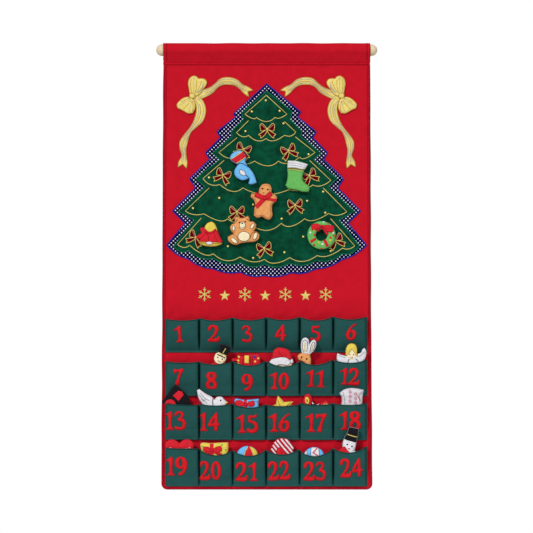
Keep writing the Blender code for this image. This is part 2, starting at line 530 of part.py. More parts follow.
def row_columns(bulge):
    """Return a row's pleated plan where the pockets stand out by a share: (x, depth share, sag share).

    At the hem the cloth lies flat, and towards the mouth each side leans over its pleat.
    """
    half_front = (POCKET_PITCH - SLOT_WIDTH) / 2
    corner = half_front + PLEAT_LEAN * bulge - PLEAT_TUCK * (1 - bulge)
    plan = [(-half_front, 0.0, 0.0), (-corner, CORNER_SHARE, 0.0)]
    plan += [(across * half_front, 1.0, 1 - across ** 2) for across in FRONT_SHARES]
    plan += [(corner, CORNER_SHARE, 0.0), (half_front, 0.0, 0.0)]
    edge = POCKET_PITCH * POCKET_COUNT / 2 + ROW_FLANGE
    pockets = [(pocket_centre(number) + x, depth * bulge, sag)
               for number in range(POCKET_COUNT) for x, depth, sag in plan]
    return [(ROW_OFFSET - edge, 0.0, 0.0)] + pockets + [(ROW_OFFSET + edge, 0.0, 0.0)]


def make_pocket_rows(parent):
    """Model each row as one pleated strip, sewn down at its pleats and along its foot."""
    seat = PANEL_FACE - GAP - POCKET_CLOTH / 2
    look = material("pocket_green", (0.016, 0.075, 0.066))
    for row, (height, sag) in enumerate(zip(ROW_HEIGHTS, MOUTH_SAGS)):
        foot = mouth_height(row) - height
        bm = bmesh.new()
        grid = []
        for rise, bulge in BULGE_SHARES:
            columns = row_columns(bulge)
            grid.append([bm.verts.new((x, seat - POCKET_BULGE * depth, foot + rise * (height - sag * droop)))
                         for x, depth, droop in columns])
        for low, high in zip(grid, grid[1:]):
            for k in range(len(low) - 1):
                bm.faces.new((low[k], low[k + 1], high[k + 1], high[k]))
        strip = add_object(f"pocket_row_{row + 1}", bm, look, parent)
        cloth = strip.modifiers.new("cloth", "SOLIDIFY")
        cloth.thickness = POCKET_CLOTH
        cloth.offset = 0.0
        cloth.use_even_offset = True


def make_trim(name, outline, body, thickness, look):
    """Lay a flat trim on the front of a stuffed piece and let the piece carry it."""
    face = -thickness / 2 - GAP
    add_object(name, padded(outline, face, face - TRIM_CLOTH), look, body, body.matrix_world)


def hang_on_tree(name, outline, thickness, look, parent, bm=None):
    """Hang a stuffed ornament in front of its bead, clear of the padded bows."""
    place = Matrix.Translation((0, BEAD_FACE - GAP - thickness / 2, 0))
    obj = add_object(name, bm or stuffed(outline, thickness), look, parent, place)
    smooth(obj, 50)
    return obj


def make_wreath(parent):
    """Model the stuffed ring."""
    x, z = spot(*WREATH_CENTRE_PX)
    across = (WREATH_DIAMETER - WREATH_HOLE) / 4
    middle = WREATH_DIAMETER / 2 - across
    bm = bmesh.new()
    rings = []
    for k in range(WREATH_SIDES):
        angle = math.tau * k / WREATH_SIDES
        ring = []
        for j in range(WREATH_TUBE_SIDES):
            turn = math.tau * (j + 0.5) / WREATH_TUBE_SIDES
            reach = middle + across * math.cos(turn) / math.cos(math.pi / WREATH_TUBE_SIDES)
            depth = WREATH_STUFFING / 2 * math.sin(turn)
            ring.append(bm.verts.new((x + reach * math.cos(angle), depth, z + reach * math.sin(angle))))
        rings.append(ring)
    for k in range(WREATH_SIDES):
        near, far = rings[k - 1], rings[k]
        for j in range(WREATH_TUBE_SIDES):
            bm.faces.new((near[j - 1], near[j], far[j], far[j - 1]))
    green = material("felt_light_green", (0.16, 0.42, 0.12))
    return hang_on_tree("wreath", None, WREATH_STUFFING, green, parent, bm)


def make_tree_ornaments(parent):
    """Model the six stuffed ornaments that hang from beads on the tree, with their trims."""
    red = material("felt_red", (0.62, 0.02, 0.03))
    horn = hang_on_tree("horn", traced(HORN_PX), STUFFING, material("felt_blue", (0.22, 0.52, 0.80)), parent)
    make_trim("horn_band", traced(HORN_BAND_PX), horn, STUFFING, red)
    stocking = hang_on_tree("stocking", traced(STOCKING_PX), STUFFING,
                            material("felt_light_green", (0.16, 0.42, 0.12)), parent)
    make_trim("stocking_cuff", traced(STOCKING_CUFF_PX), stocking, STUFFING, material("felt_white", (0.80, 0.80, 0.80)))
    gingerbread = hang_on_tree("gingerbread_man", traced(GINGERBREAD_PX), STUFFING,
                               material("felt_tan", (0.72, 0.38, 0.16)), parent)
    make_trim("gingerbread_bow", traced(GINGERBREAD_BOW_PX), gingerbread, STUFFING, red)
    hang_on_tree("teddy_bear", traced(BEAR_PX), STUFFING, material("felt_tan", (0.72, 0.38, 0.16)), parent)
    wreath = make_wreath(parent)
    make_trim("wreath_bow", traced(WREATH_BOW_PX), wreath, WREATH_STUFFING, red)
    bell = hang_on_tree("bell", traced(BELL_PX), STUFFING, material("felt_yellow", (0.75, 0.58, 0.10)), parent)
    make_trim("bell_bow", traced(BELL_BOW_PX), bell, STUFFING, red)


def pocket_lean(row, lip_share):
    """Return how far an ornament leans: its back foot rests on the panel, its front on the lip.

    A narrow ornament meets the sagging lip nearer to its middle, at a smaller share of its half width.
    """
    lever = SEAT_DEPTH - MOUTH_SAGS[row] * (1 - lip_share * FRONT_SHARES[-1])
    reach = GAP + POCKET_BULGE - 2 * SEAT_PLAY - STUFFING / 2
    return math.atan2(reach, lever) - math.asin(STUFFING / 2 / math.hypot(reach, lever))


def leaning(outline, row, lean):
    """Return an outline, drawn as it is seen from the front, in the plane of a leaning ornament."""
    foot_z = mouth_height(row) - SEAT_DEPTH
    return [(x, (z - foot_z) / math.cos(lean)) for x, z in outline]


def make_pocket_ornament(name, outline, row, lean, look, parent):
    """Stand a stuffed ornament in its pocket, leaning forward on the lip of the mouth."""
    foot_y = PANEL_FACE - SEAT_PLAY - STUFFING / 2
    foot = Matrix.Translation((0, foot_y, mouth_height(row) - SEAT_DEPTH))
    place = foot @ Matrix.Rotation(lean, 4, "X")
    obj = add_object(name, stuffed(leaning(outline, row, lean), STUFFING), look, parent, place)
    smooth(obj, 50)
    return obj


def make_pocket_ornaments(parent):
    """Model the seventeen ornaments that stand in pockets 8 to 24, with their trims."""
    red = material("felt_red", (0.62, 0.02, 0.03))
    white = material("felt_white", (0.80, 0.80, 0.80))
    yellow = material("felt_yellow", (0.75, 0.58, 0.10))
    blue = material("felt_blue", (0.22, 0.52, 0.80))
    black = material("felt_black", (0.02, 0.02, 0.02))
    tan = material("felt_tan", (0.72, 0.38, 0.16))

    star_centre = spot(*STAR_CENTRE_PX)
    star = []
    for k in range(2 * STAR_POINTS):
        reach = STAR_RADIUS * (STAR_WAIST_SHARE if k % 2 else 1)
        angle = math.pi / 2 + math.radians(STAR_TURN) + math.pi * k / STAR_POINTS
        star.append((star_centre[0] + reach * math.cos(angle), star_centre[1] + reach * math.sin(angle)))

    pieces = [
        ("toy_soldier", traced(SOLDIER_PX), 1, red),
        ("toy_sleigh", traced(SLEIGH_PX), 1, red),
        ("father_christmas", traced(FATHER_CHRISTMAS_PX), 1, red),
        ("reindeer", traced(REINDEER_PX), 1, tan),
        ("angel", traced(ANGEL_PX), 1, white),
        ("toy_engine", traced(ENGINE_PX), 2, black),
        ("dove", traced(DOVE_PX), 2, white),
        ("blue_gift", traced(BLUE_GIFT_PX), 2, blue),
        ("star", star, 2, yellow),
        ("mittens", traced(MITTENS_PX), 2, red),
        ("satin_pouch", traced(POUCH_PX), 2, white),
        ("heart", traced(HEART_PX), 3, red),
        ("yellow_gift", traced(YELLOW_GIFT_PX), 3, yellow),
        ("panel_ball", circle(spot(*PANEL_BALL_PX), PANEL_BALL_DIAMETER / 2, BALL_SIDES), 3, blue),
        ("striped_ball", circle(spot(*STRIPED_BALL_PX), STRIPED_BALL_DIAMETER / 2, BALL_SIDES), 3, red),
        ("blue_ball", circle(spot(*BLUE_BALL_PX), BLUE_BALL_DIAMETER / 2, BALL_SIDES), 3, blue),
        ("snowman", traced(SNOWMAN_PX), 3, white),
    ]
    made = {}
    stance = {}
    for name, outline, row, look in pieces:
        lean = pocket_lean(row, SNOWMAN_LIP_SHARE if name == "snowman" else FRONT_SHARES[-1])
        stance[name] = (row, lean)
        made[name] = make_pocket_ornament(name, outline, row, lean, look, parent)
    trims = [
        ("blue_gift_bow", BLUE_GIFT_BOW_PX, "blue_gift"),
        ("yellow_gift_bow", YELLOW_GIFT_BOW_PX, "yellow_gift"),
        ("striped_ball_bow", STRIPED_BALL_BOW_PX, "striped_ball"),
        ("snowman_scarf", SNOWMAN_SCARF_PX, "snowman"),
    ]
    for name, outline_px, carrier in trims:
        make_trim(name, leaning(traced(outline_px), *stance[carrier]), made[carrier], STUFFING, red)


def main():
    """Build the calendar."""
    clear_scene()
    rod = make_rod()
    sleeve_pivot = add_pivot("sleeve_slide", (0, 0, 0), rod)
    make_sleeve(sleeve_pivot)
    banner_pivot = add_pivot("banner_hinge", HINGE, sleeve_pivot)
    make_banner(banner_pivot)
    make_tree(banner_pivot)
    make_ribbons(banner_pivot)
    make_bows(banner_pivot)
    make_pocket_rows(banner_pivot)
    make_tree_ornaments(banner_pivot)
    make_pocket_ornaments(banner_pivot)


main()
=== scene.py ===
"""The looks of the fabric advent calendar, in the same frame as its CAD solids.

Metres. +X is to the viewer's right, -Y comes out of the wall towards them and +Z is up. The origin
is the middle of the rod, on its axis. Traced outlines are in pixels of the photograph.
"""
import logging
import math
from collections.abc import Callable, Sequence
from dataclasses import dataclass, field
from enum import Enum, auto

import bmesh
import bpy
import numpy as np
from mathutils import Matrix, Vector


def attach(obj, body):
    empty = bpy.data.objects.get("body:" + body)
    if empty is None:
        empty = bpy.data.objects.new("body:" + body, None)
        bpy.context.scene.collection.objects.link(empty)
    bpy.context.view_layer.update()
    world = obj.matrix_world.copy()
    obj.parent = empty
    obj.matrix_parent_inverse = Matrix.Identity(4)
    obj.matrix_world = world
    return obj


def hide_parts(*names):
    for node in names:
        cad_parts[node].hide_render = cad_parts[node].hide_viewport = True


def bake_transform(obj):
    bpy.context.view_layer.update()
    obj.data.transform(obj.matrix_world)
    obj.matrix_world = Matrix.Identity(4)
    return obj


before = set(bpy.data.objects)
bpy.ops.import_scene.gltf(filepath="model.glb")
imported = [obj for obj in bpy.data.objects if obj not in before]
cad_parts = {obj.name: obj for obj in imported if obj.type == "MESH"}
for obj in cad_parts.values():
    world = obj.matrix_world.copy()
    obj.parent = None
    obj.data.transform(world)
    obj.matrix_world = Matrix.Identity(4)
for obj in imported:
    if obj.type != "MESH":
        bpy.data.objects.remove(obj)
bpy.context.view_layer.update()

LOG = logging.getLogger("advent_calendar")

Point = tuple[float, float]
Loop = list[Point]
Under = Callable[[np.ndarray, np.ndarray], np.ndarray]
Input = bpy.types.NodeSocket | Sequence[float] | float

# Scale of the photograph, and the depths of the CAD layers (y of their faces)
PIXEL = 0.00216
ROD_AXIS_PX = (266.75, 50.0)
PANEL_FACE = -0.0023
TREE_FACE = -0.0049
CROWN_GAP = 0.0003

THREAD = 0.0005  # radius of the sewing thread
MERGE = 1e-6  # vertices nearer than this are one
RIPPLE_WAVES = 7
RIPPLE_TOTAL = 4.2  # brings the sum of the waves to about 1
POINTS_AT_ONCE = 4000
SPLIT_ROUNDS = 9
CORD_BEVEL = 3


def spot(x_px: float, y_px: float) -> Point:
    """Return the place on the cloth, (x, z), of a point in the photograph."""
    return (x_px - ROD_AXIS_PX[0]) * PIXEL, (ROD_AXIS_PX[1] - y_px) * PIXEL


def traced(points_px: Sequence[Point]) -> Loop:
    """Return the (x, z) places of points in the photograph."""
    return [spot(x, y) for x, y in points_px]


def turned(points: Sequence[Point], middle: Point, degrees: float) -> Loop:
    """Turn points round (0, 0) against the clock, and carry them to a middle.

    Args:
        points: The points, drawn round (0, 0).
        middle: Where (0, 0) goes.
        degrees: How far they turn.

    Returns:
        The points in their places.
    """
    turn = Matrix.Rotation(math.radians(degrees), 2)
    flat = [turn @ Vector(point) for point in points]
    return [(middle[0] + f.x, middle[1] + f.y) for f in flat]


def flowing(points: Sequence[Point], step: float, closed: bool = True,
            sharp: float = 50.0) -> Loop:
    """Draw a smooth line through points.

    Args:
        points: The points that the line goes through.
        step: How far apart the returned points are.
        closed: Whether the line comes back to its start.
        sharp: Points where the line turns by more degrees than this stay corners.

    Returns:
        The points of the line.
    """
    p = np.asarray(points, float)
    count = len(p)
    last = count if closed else count - 1
    legs = [p[(k + 1) % count] - p[k] for k in range(last)]
    units = [leg / max(np.linalg.norm(leg), 1e-9) for leg in legs]

    def tangent(at: int, own: int) -> np.ndarray:
        before, after = (at - 1) % count, at % count
        if not closed and at in (0, count - 1):
            return units[own]
        turn = math.degrees(math.acos(float(np.clip(units[before] @ units[after], -1, 1))))
        if turn > sharp:
            return units[own]
        mean = units[before] + units[after]
        return mean / max(np.linalg.norm(mean), 1e-9)

    line: Loop = []
    for k in range(last):
        start, end = p[k], p[(k + 1) % count]
        length = float(np.linalg.norm(legs[k]))
        leave = tangent(k, k) * length
        arrive = tangent((k + 1) % count if closed else k + 1, k) * length
        pieces = max(1, round(length / step))
        for j in range(pieces):
            t = j / pieces
            at = ((2 * t**3 - 3 * t**2 + 1) * start + (t**3 - 2 * t**2 + t) * leave
                  + (3 * t**2 - 2 * t**3) * end + (t**3 - t**2) * arrive)
            line.append((float(at[0]), float(at[1])))
    if not closed:
        line.append((float(p[-1][0]), float(p[-1][1])))
    return line


def ellipse(centre: Point, radii: Point, tilt: float = 0.0, sides: int = 28) -> Loop:
    """Draw a closed ellipse.

    Args:
        centre: Its middle.
        radii: Its radii, across and up.
        tilt: How far it is turned against the clock, in degrees.
        sides: Number of points.

    Returns:
        Its points.
    """
    turn = math.radians(tilt)
    line = []
    for k in range(sides):
        a = math.tau * k / sides
        across, up = radii[0] * math.cos(a), radii[1] * math.sin(a)
        line.append((centre[0] + across * math.cos(turn) - up * math.sin(turn),
                     centre[1] + across * math.sin(turn) + up * math.cos(turn)))
    return line


def ripple(x: np.ndarray, z: np.ndarray, wave: float, seed: int) -> np.ndarray:
    """Add up soft random waves.

    Args:
        x: Places across.
        z: Places along.
        wave: Their mean length.
        seed: Picks the waves.

    Returns:
        Their height at each place, between about -1 and 1.
    """
    draw = np.random.default_rng(seed)
    total = np.zeros(np.broadcast(x, z).shape)
    for _ in range(RIPPLE_WAVES):
        angle, phase = draw.uniform(0, math.tau, 2)
        number = math.tau / (wave * draw.uniform(0.7, 1.5))
        total = total + np.sin(number * (x * math.cos(angle) + z * math.sin(angle)) + phase)
    return total / RIPPLE_TOTAL


def away(x: np.ndarray, z: np.ndarray, loops: Sequence[Loop], closed: bool = True) -> np.ndarray:
    """Measure how far points are from the nearest of some lines.

    Args:
        x: The points' x.
        z: The points' z.
        loops: The lines.
        closed: Whether each line comes back to its start.

    Returns:
        The distances.
    """
    best = np.full(len(x), 1e9)
    for loop in loops:
        a = np.asarray(loop, float)
        b = np.roll(a, -1, axis=0)
        if not closed:
            a, b = a[:-1], b[:-1]
        leg = b - a
        size = np.maximum((leg**2).sum(1), 1e-16)
        for low in range(0, len(x), POINTS_AT_ONCE):
            part = slice(low, low + POINTS_AT_ONCE)
            q = np.stack([x[part], z[part]], 1)[:, None, :]
            t = np.clip(((q - a) * leg).sum(2) / size, 0, 1)
            near = np.sqrt((((a + leg * t[..., None]) - q) ** 2).sum(2)).min(1)
            best[part] = np.minimum(best[part], near)
    return best


def inside(x: np.ndarray, z: np.ndarray, loop: Loop) -> np.ndarray:
    """Find the points that lie inside a closed line.

    Args:
        x: The points' x.
        z: The points' z.
        loop: The line.

    Returns:
        True for each point inside.
    """
    a = np.asarray(loop, float)
    b = np.roll(a, -1, axis=0)
    crossed = np.zeros(len(x), int)
    for (x0, z0), (x1, z1) in zip(a, b):
        if z0 == z1:
            continue
        at = x0 + (z - z0) * (x1 - x0) / (z1 - z0)
        crossed += ((z0 > z) != (z1 > z)) & (x < at)
    return crossed % 2 == 1


def area_of(loop: Loop) -> float:
    """Return the area inside a closed line."""
    a = np.asarray(loop, float)
    b = np.roll(a, -1, axis=0)
    return abs(float((a[:, 0] * b[:, 1] - b[:, 0] * a[:, 1]).sum())) / 2


def dome(distance: np.ndarray, reach: float) -> np.ndarray:
    """Return the share of full height at a distance from the edge, as in a stuffed edge."""
    t = np.clip(distance / reach, 0, 1)
    return np.sqrt(np.maximum(1 - (1 - t) ** 2, 0))


def lengths_along(line: np.ndarray) -> np.ndarray:
    """Return how far each point of a line is from its start, along the line."""
    return np.concatenate([[0.0], np.cumsum(np.linalg.norm(np.diff(line, axis=0), axis=1))])


def places(bm: bmesh.types.BMesh) -> np.ndarray:
    """Return the places of all vertices."""
    return np.array([v.co for v in bm.verts], float).reshape(-1, 3)


def move_to(bm: bmesh.types.BMesh, at: np.ndarray) -> None:
    """Put the vertices at new places."""
    for vert, co in zip(bm.verts, at):
        vert.co = co


def outward(bm: bmesh.types.BMesh) -> bmesh.types.BMesh:
    """Turn all faces of a closed mesh outwards, and return the mesh."""
    bmesh.ops.recalc_face_normals(bm, faces=bm.faces[:])
    return bm


# --- Finishes ---------------------------------------------------------------------------------


class Grain(Enum):
    """What the surface of a finish is like."""

    CALICO = auto()
    FELT = auto()
    VELVET = auto()
    SATIN = auto()
    THREAD = auto()
    METAL = auto()
    WOOD = auto()
    DOTS = auto()


def linear(colour: Sequence[float]) -> tuple[float, float, float, float]:
    """Turn an 0 to 255 screen colour into the linear one that shaders take."""
    shares = [c / 255 for c in colour]
    flat = [c / 12.92 if c <= 0.04045 else ((c + 0.055) / 1.055) ** 2.4 for c in shares]
    return flat[0], flat[1], flat[2], 1.0


@dataclass(frozen=True)
class GrainLook:
    """How a grain takes the light.

    `weave` is the scale of its fibres and `bump` how deep they look. `patches` is the scale of its
    lighter and darker patches and `mottle` how far they stray from its colour.
    """

    roughness: float
    sheen: float
    weave: float
    bump: float
    mottle: float
    patches: float
    specular: float = 0.0
    metallic: float = 0.0
    stretch: float = 1.0


GRAINS = {
    Grain.CALICO: GrainLook(0.9, 0.0, 1200.0, 0.06, 0.05, 60.0),
    Grain.FELT: GrainLook(0.95, 0.12, 1500.0, 0.25, 0.10, 160.0, 0.05),
    Grain.VELVET: GrainLook(0.85, 0.14, 1800.0, 0.30, 0.42, 75.0, 0.05),
    Grain.SATIN: GrainLook(0.5, 0.0, 1600.0, 0.05, 0.10, 90.0, 0.3),
    Grain.THREAD: GrainLook(0.85, 0.0, 900.0, 0.12, 0.14, 300.0),
    Grain.METAL: GrainLook(0.3, 0.0, 900.0, 0.02, 0.05, 200.0, 0.5, 0.6),
    Grain.WOOD: GrainLook(0.6, 0.0, 300.0, 0.08, 0.10, 30.0, 0.3, stretch=0.06),
    Grain.DOTS: GrainLook(0.9, 0.0, 2600.0, 0.08, 0.06, 60.0),
}
SHEEN_ROUGHNESS = 0.4
PATCH_DETAIL = 4.0
PATCH_EDGES = (0.3, 0.7)
BUMP_DEPTH = 0.0006
DOT_PITCH = 0.0062
DOT_RADIUS = 0.00128
DOT_COLOUR = (235, 235, 240)


class Net:
    """The nodes of a material or of the world."""

    def __init__(self, owner: bpy.types.Material | bpy.types.World) -> None:
        """Switch the nodes on."""
        owner.use_nodes = True
        self.tree = owner.node_tree

    def add(self, kind: str, inputs: dict[str | int, Input], operation: str = "") -> bpy.types.Node:
        """Add a node.

        Args:
            kind: The end of its type's name, after ShaderNode.
            inputs: Values for its inputs, or the sockets that feed them.
            operation: What it works out, where it has a choice.

        Returns:
            The node.
        """
        node = self.tree.nodes.new("ShaderNode" + kind)
        if operation:
            node.operation = operation
        self.feed(node, inputs)
        return node

    def feed(self, node: bpy.types.Node, inputs: dict[str | int, Input]) -> None:
        """Set a node's inputs, or join them to sockets, as `add` does.

        Args:
            node: The node.
            inputs: Values or sockets for its inputs.
        """
        for name, value in inputs.items():
            if isinstance(value, bpy.types.NodeSocket):
                self.tree.links.new(value, node.inputs[name])
            else:
                node.inputs[name].default_value = value


@dataclass(frozen=True)
class Finish:
    """One cloth, thread or other surface.

    Attributes:
        name: Name of the material.
        colour: Screen colour, 0 to 255.
        grain: What the surface is like.
        slot: The record's material slot; not used.
    """

    name: str
    colour: tuple[int, int, int]
    grain: Grain
    slot: str

    def material(self) -> bpy.types.Material:
        """Return the material, made on first use."""
        found = bpy.data.materials.get(self.name)
        if found:
            return found
        made = bpy.data.materials.new(self.name)
        net, look = Net(made), GRAINS[self.grain]
        place = net.add("TexCoord", {}).outputs["Object"]
        along = net.add("Mapping", {"Vector": place, "Scale": (look.stretch, 1.0, 1.0)})
        mapped = along.outputs["Vector"]
        patches = net.add("TexNoise", {"Scale": look.patches, "Detail": PATCH_DETAIL,
                                       "Vector": mapped})
        shade = net.add("MapRange", {
            "From Min": PATCH_EDGES[0], "From Max": PATCH_EDGES[1], "To Min": 1.0 - look.mottle,
            "To Max": 1.0 + look.mottle, "Value": patches.outputs["Fac"]})
        base = self.dots(net) if self.grain is Grain.DOTS else linear(self.colour)[:3]
        tinted = net.add("VectorMath", {0: base, "Scale": shade.outputs["Result"]}, "SCALE")
        weave = net.add("TexNoise", {"Scale": look.weave, "Vector": mapped})
        bump = net.add("Bump", {"Strength": look.bump, "Distance": BUMP_DEPTH,
                                "Height": weave.outputs["Fac"]})
        net.feed(net.tree.nodes["Principled BSDF"], {
            "Base Color": tinted.outputs["Vector"], "Normal": bump.outputs["Normal"],
            "Roughness": look.roughness, "Specular IOR Level": look.specular,
            "Sheen Weight": look.sheen, "Sheen Roughness": SHEEN_ROUGHNESS,
            "Metallic": look.metallic})
        return made

    def dots(self, net: Net) -> bpy.types.NodeSocket:
        """Add a diagonal lattice of pale dots.

        Args:
            net: The material's nodes.

        Returns:
            The socket of its colour.
        """
        place = net.add("TexCoord", {}).outputs["Object"]
        diagonal = net.add("Mapping", {"Rotation": (0.0, math.radians(45), 0.0), "Vector": place})
        split = net.add("SeparateXYZ", {"Vector": diagonal.outputs["Vector"]})
        squares = []
        for axis in ("X", "Z"):
            wrap = net.add("Math", {0: split.outputs[axis], 1: DOT_PITCH / 2}, "PINGPONG")
            square = net.add("Math", {0: wrap.outputs["Value"], 1: 2.0}, "POWER")
            squares.append(square.outputs["Value"])
        total = net.add("Math", {0: squares[0], 1: squares[1]}, "ADD")
        within = net.add("Math", {0: total.outputs["Value"], 1: DOT_RADIUS**2}, "LESS_THAN")
        mix = net.add("Mix", {})
        mix.data_type = "RGBA"
        net.feed(mix, {"A": linear(self.colour), "B": linear(DOT_COLOUR),
                       "Factor": within.outputs["Value"]})
        return mix.outputs["Result"]


PINE = Finish("pine", (221, 204, 170), Grain.WOOD, "wood")
PANEL_RED = Finish("panel_red", (192, 23, 39), Grain.CALICO, "calico_red")
BACK_RED = Finish("back_red", (168, 22, 36), Grain.CALICO, "backing_red")
# Darker than the panel's red: painted shade on the binding's rounded edge.
EDGE_RED = Finish("edge_red", (158, 18, 34), Grain.CALICO, "binding_red")
# Darker than the cloth: the stitches, and painted shade along the sewn lines.
STITCH_RED = Finish("stitch_red", (150, 14, 28), Grain.THREAD, "calico_red")
NAVY_DOTS = Finish("navy_dots", (10, 10, 58), Grain.DOTS, "dotted_navy")
ROYAL_EDGE = Finish("royal_edge", (42, 47, 155), Grain.THREAD, "dotted_navy")
TREE_VELVET = Finish("tree_velvet", (3, 66, 45), Grain.VELVET, "velvet_green")
TREE_EDGE = Finish("tree_edge", (24, 104, 74), Grain.THREAD, "velvet_green")
GOLD_THREAD = Finish("gold_thread", (216, 196, 112), Grain.THREAD, "satin_gold")
GOLD_BEAD = Finish("gold_bead", (226, 206, 112), Grain.METAL, "satin_gold")
RIBBON_YELLOW = Finish("ribbon_yellow", (228, 208, 112), Grain.SATIN, "satin_gold")
# Grey-beige: stripes along the streamers, and painted shade of the folds on the loops.
RIBBON_FOLD = Finish("ribbon_fold", (184, 170, 140), Grain.SATIN, "satin_gold")
RIBBON_EDGE = Finish("ribbon_edge", (190, 154, 82), Grain.THREAD, "satin_gold")
BURGUNDY = Finish("burgundy", (96, 0, 16), Grain.CALICO, "bow_burgundy")
POCKET = Finish("pocket_cloth", (36, 79, 76), Grain.CALICO, "pocket_green")
# A touch lighter than the pocket cloth: painted highlight on the hem's fold.
POCKET_HEM = Finish("pocket_hem", (39, 83, 80), Grain.CALICO, "pocket_green")
# Dark green: a line along each pocket's mouth, and painted shade deep in the pleats between the
# pockets.
POCKET_LIP = Finish("pocket_lip", (16, 52, 50), Grain.THREAD, "pocket_green")
NUMERAL_RED = Finish("numeral_red", (208, 28, 36), Grain.FELT, "felt_red")
# Pale pink thread along the bows' loops: painted highlight.
PALE_PINK = Finish("pale_pink", (226, 168, 150), Grain.THREAD, "bow_burgundy")
SKY_FELT = Finish("sky_felt", (112, 184, 236), Grain.FELT, "felt_blue")
LEAF_FELT = Finish("leaf_felt", (104, 180, 92), Grain.FELT, "felt_light_green")
TAN_FELT = Finish("tan_felt", (226, 156, 96), Grain.FELT, "felt_tan")
WHITE_FELT = Finish("white_felt", (220, 219, 224), Grain.FELT, "felt_white")
YELLOW_FELT = Finish("yellow_felt", (222, 200, 84), Grain.FELT, "felt_yellow")
BLACK_FELT = Finish("black_felt", (24, 24, 28), Grain.FELT, "felt_black")
RED_FELT = Finish("red_felt", (205, 36, 48), Grain.FELT, "felt_red")
DARK_RED_FELT = Finish("dark_red_felt", (178, 24, 42), Grain.FELT, "felt_red")
CREAM_FELT = Finish("cream_felt", (240, 226, 188), Grain.FELT, "felt_white")
WHITE_SATIN = Finish("white_satin", (208, 204, 210), Grain.SATIN, "felt_white")
ROYAL_FELT = Finish("royal_felt", (66, 48, 150), Grain.FELT, "felt_blue")
NAVY_LINE = Finish("navy_line", (30, 44, 104), Grain.THREAD, "felt_blue")
DARK_LINE = Finish("dark_line", (66, 42, 40), Grain.THREAD, "felt_black")
BROWN_LINE = Finish("brown_line", (150, 84, 40), Grain.THREAD, "felt_tan")
RUST_LINE = Finish("rust_line", (168, 64, 44), Grain.THREAD, "felt_red")
GREY_LINE = Finish("grey_line", (150, 152, 160), Grain.THREAD, "felt_white")
PINK_LINE = Finish("pink_line", (200, 96, 126), Grain.THREAD, "felt_red")
RED_LINE = Finish("red_line", (206, 44, 62), Grain.THREAD, "felt_red")
WHITE_LINE = Finish("white_line", (232, 226, 226), Grain.THREAD, "felt_white")
GREEN_LINE = Finish("green_line", (62, 132, 60), Grain.THREAD, "felt_light_green")
DARK_RED_LINE = Finish("dark_red_line", (150, 20, 34), Grain.THREAD, "felt_red")



# --- Solid parts and pieces -------------------------------------------------------------------


def patch(loops: Sequence[Loop], step: float) -> bmesh.types.BMesh:
    """Fill outlines with a flat, even mesh of triangles at y = 0.

    Args:
        loops: The outline, and those of any holes.
        step: Length of the triangles' sides.

    Returns:
        The mesh, open and one layer thick.
    """
    bm = bmesh.new()
    edges = []
    for loop in loops:
        verts = [bm.verts.new((x, 0.0, z)) for x, z in loop]
        edges += [bm.edges.new((verts[k - 1], verts[k])) for k in range(len(verts))]
    bmesh.ops.triangle_fill(bm, use_beauty=True, use_dissolve=False, edges=edges)
    longest = 1.45 * step
    for _ in range(SPLIT_ROUNDS):
        long = [e for e in bm.edges if not e.is_boundary and e.calc_length() > longest]
        if not long:
            break
        bmesh.ops.subdivide_edges(bm, edges=long, cuts=1)
        bmesh.ops.triangulate(bm, faces=[f for f in bm.faces if len(f.verts) > 3])
        inner = [e for e in bm.edges if not e.is_boundary]
        bmesh.ops.beautify_fill(bm, faces=bm.faces[:], edges=inner)
        loose = [v for v in bm.verts if not v.is_boundary]
        bmesh.ops.smooth_vert(bm, verts=loose, factor=0.5, use_axis_x=True, use_axis_z=True)
    return bm


def two_layers(loops: Sequence[Loop],
               step: float) -> tuple[bmesh.types.BMesh, np.ndarray, np.ndarray]:
    """Fill outlines with two layers that are joined at their edges.

    Args:
        loops: The outline, and those of any holes.
        step: Length of the triangles' sides.

    Returns:
        The closed mesh, still flat, the places of its vertices, and which are in front.
    """
    bm = patch(loops, step)
    grown = bmesh.ops.extrude_face_region(bm, geom=bm.faces[:])
    bm.verts.index_update()
    front = {g.index for g in grown["geom"] if isinstance(g, bmesh.types.BMVert)}
    at = places(bm)
    return bm, at, np.array([k in front for k in range(len(at))])


def slab(loops: Sequence[Loop], step: float, under: Under, thickness: float, rounding: float,
         sink: float = 0.0004) -> bmesh.types.BMesh:
    """Lay a closed piece of cloth with a rounded edge on a surface.

    Args:
        loops: Its outline, and those of any holes, as (x, z).
        step: Length of its triangles.
        under: The y of the surface that it lies on.
        thickness: How far its middle stands in front of that surface.
        rounding: How far in from the edge it reaches full thickness.
        sink: How far its back goes behind the surface.

    Returns:
        The closed mesh.
    """
    bm, at, is_front = two_layers(loops, step)
    ground = under(at[:, 0], at[:, 2])
    rise = thickness * (0.3 + 0.7 * dome(away(at[:, 0], at[:, 2], loops), rounding))
    at[:, 1] = np.where(is_front, ground - rise, ground + sink)
    move_to(bm, at)
    return outward(bm)


def cloth(columns: int, rows: int, shape: Callable[[np.ndarray, np.ndarray], np.ndarray],
          thickness: float) -> tuple[bmesh.types.BMesh, float]:
    """Bend a grid into a thin, closed sheet of cloth.

    Args:
        columns: Faces across.
        rows: Faces along.
        shape: Gives the place of each point of the sheet, (n, 3), from its shares u and v.
        thickness: Thickness of the cloth.

    Returns:
        The closed mesh, and the area of the cloth.
    """
    bm = bmesh.new()
    bmesh.ops.create_grid(bm, x_segments=columns, y_segments=rows, size=0.5)
    at = places(bm)
    move_to(bm, shape(at[:, 0] + 0.5, at[:, 1] + 0.5))
    bm.normal_update()
    area = sum(f.calc_area() for f in bm.faces)
    bmesh.ops.solidify(bm, geom=bm.faces[:], thickness=thickness)
    return outward(bm), area


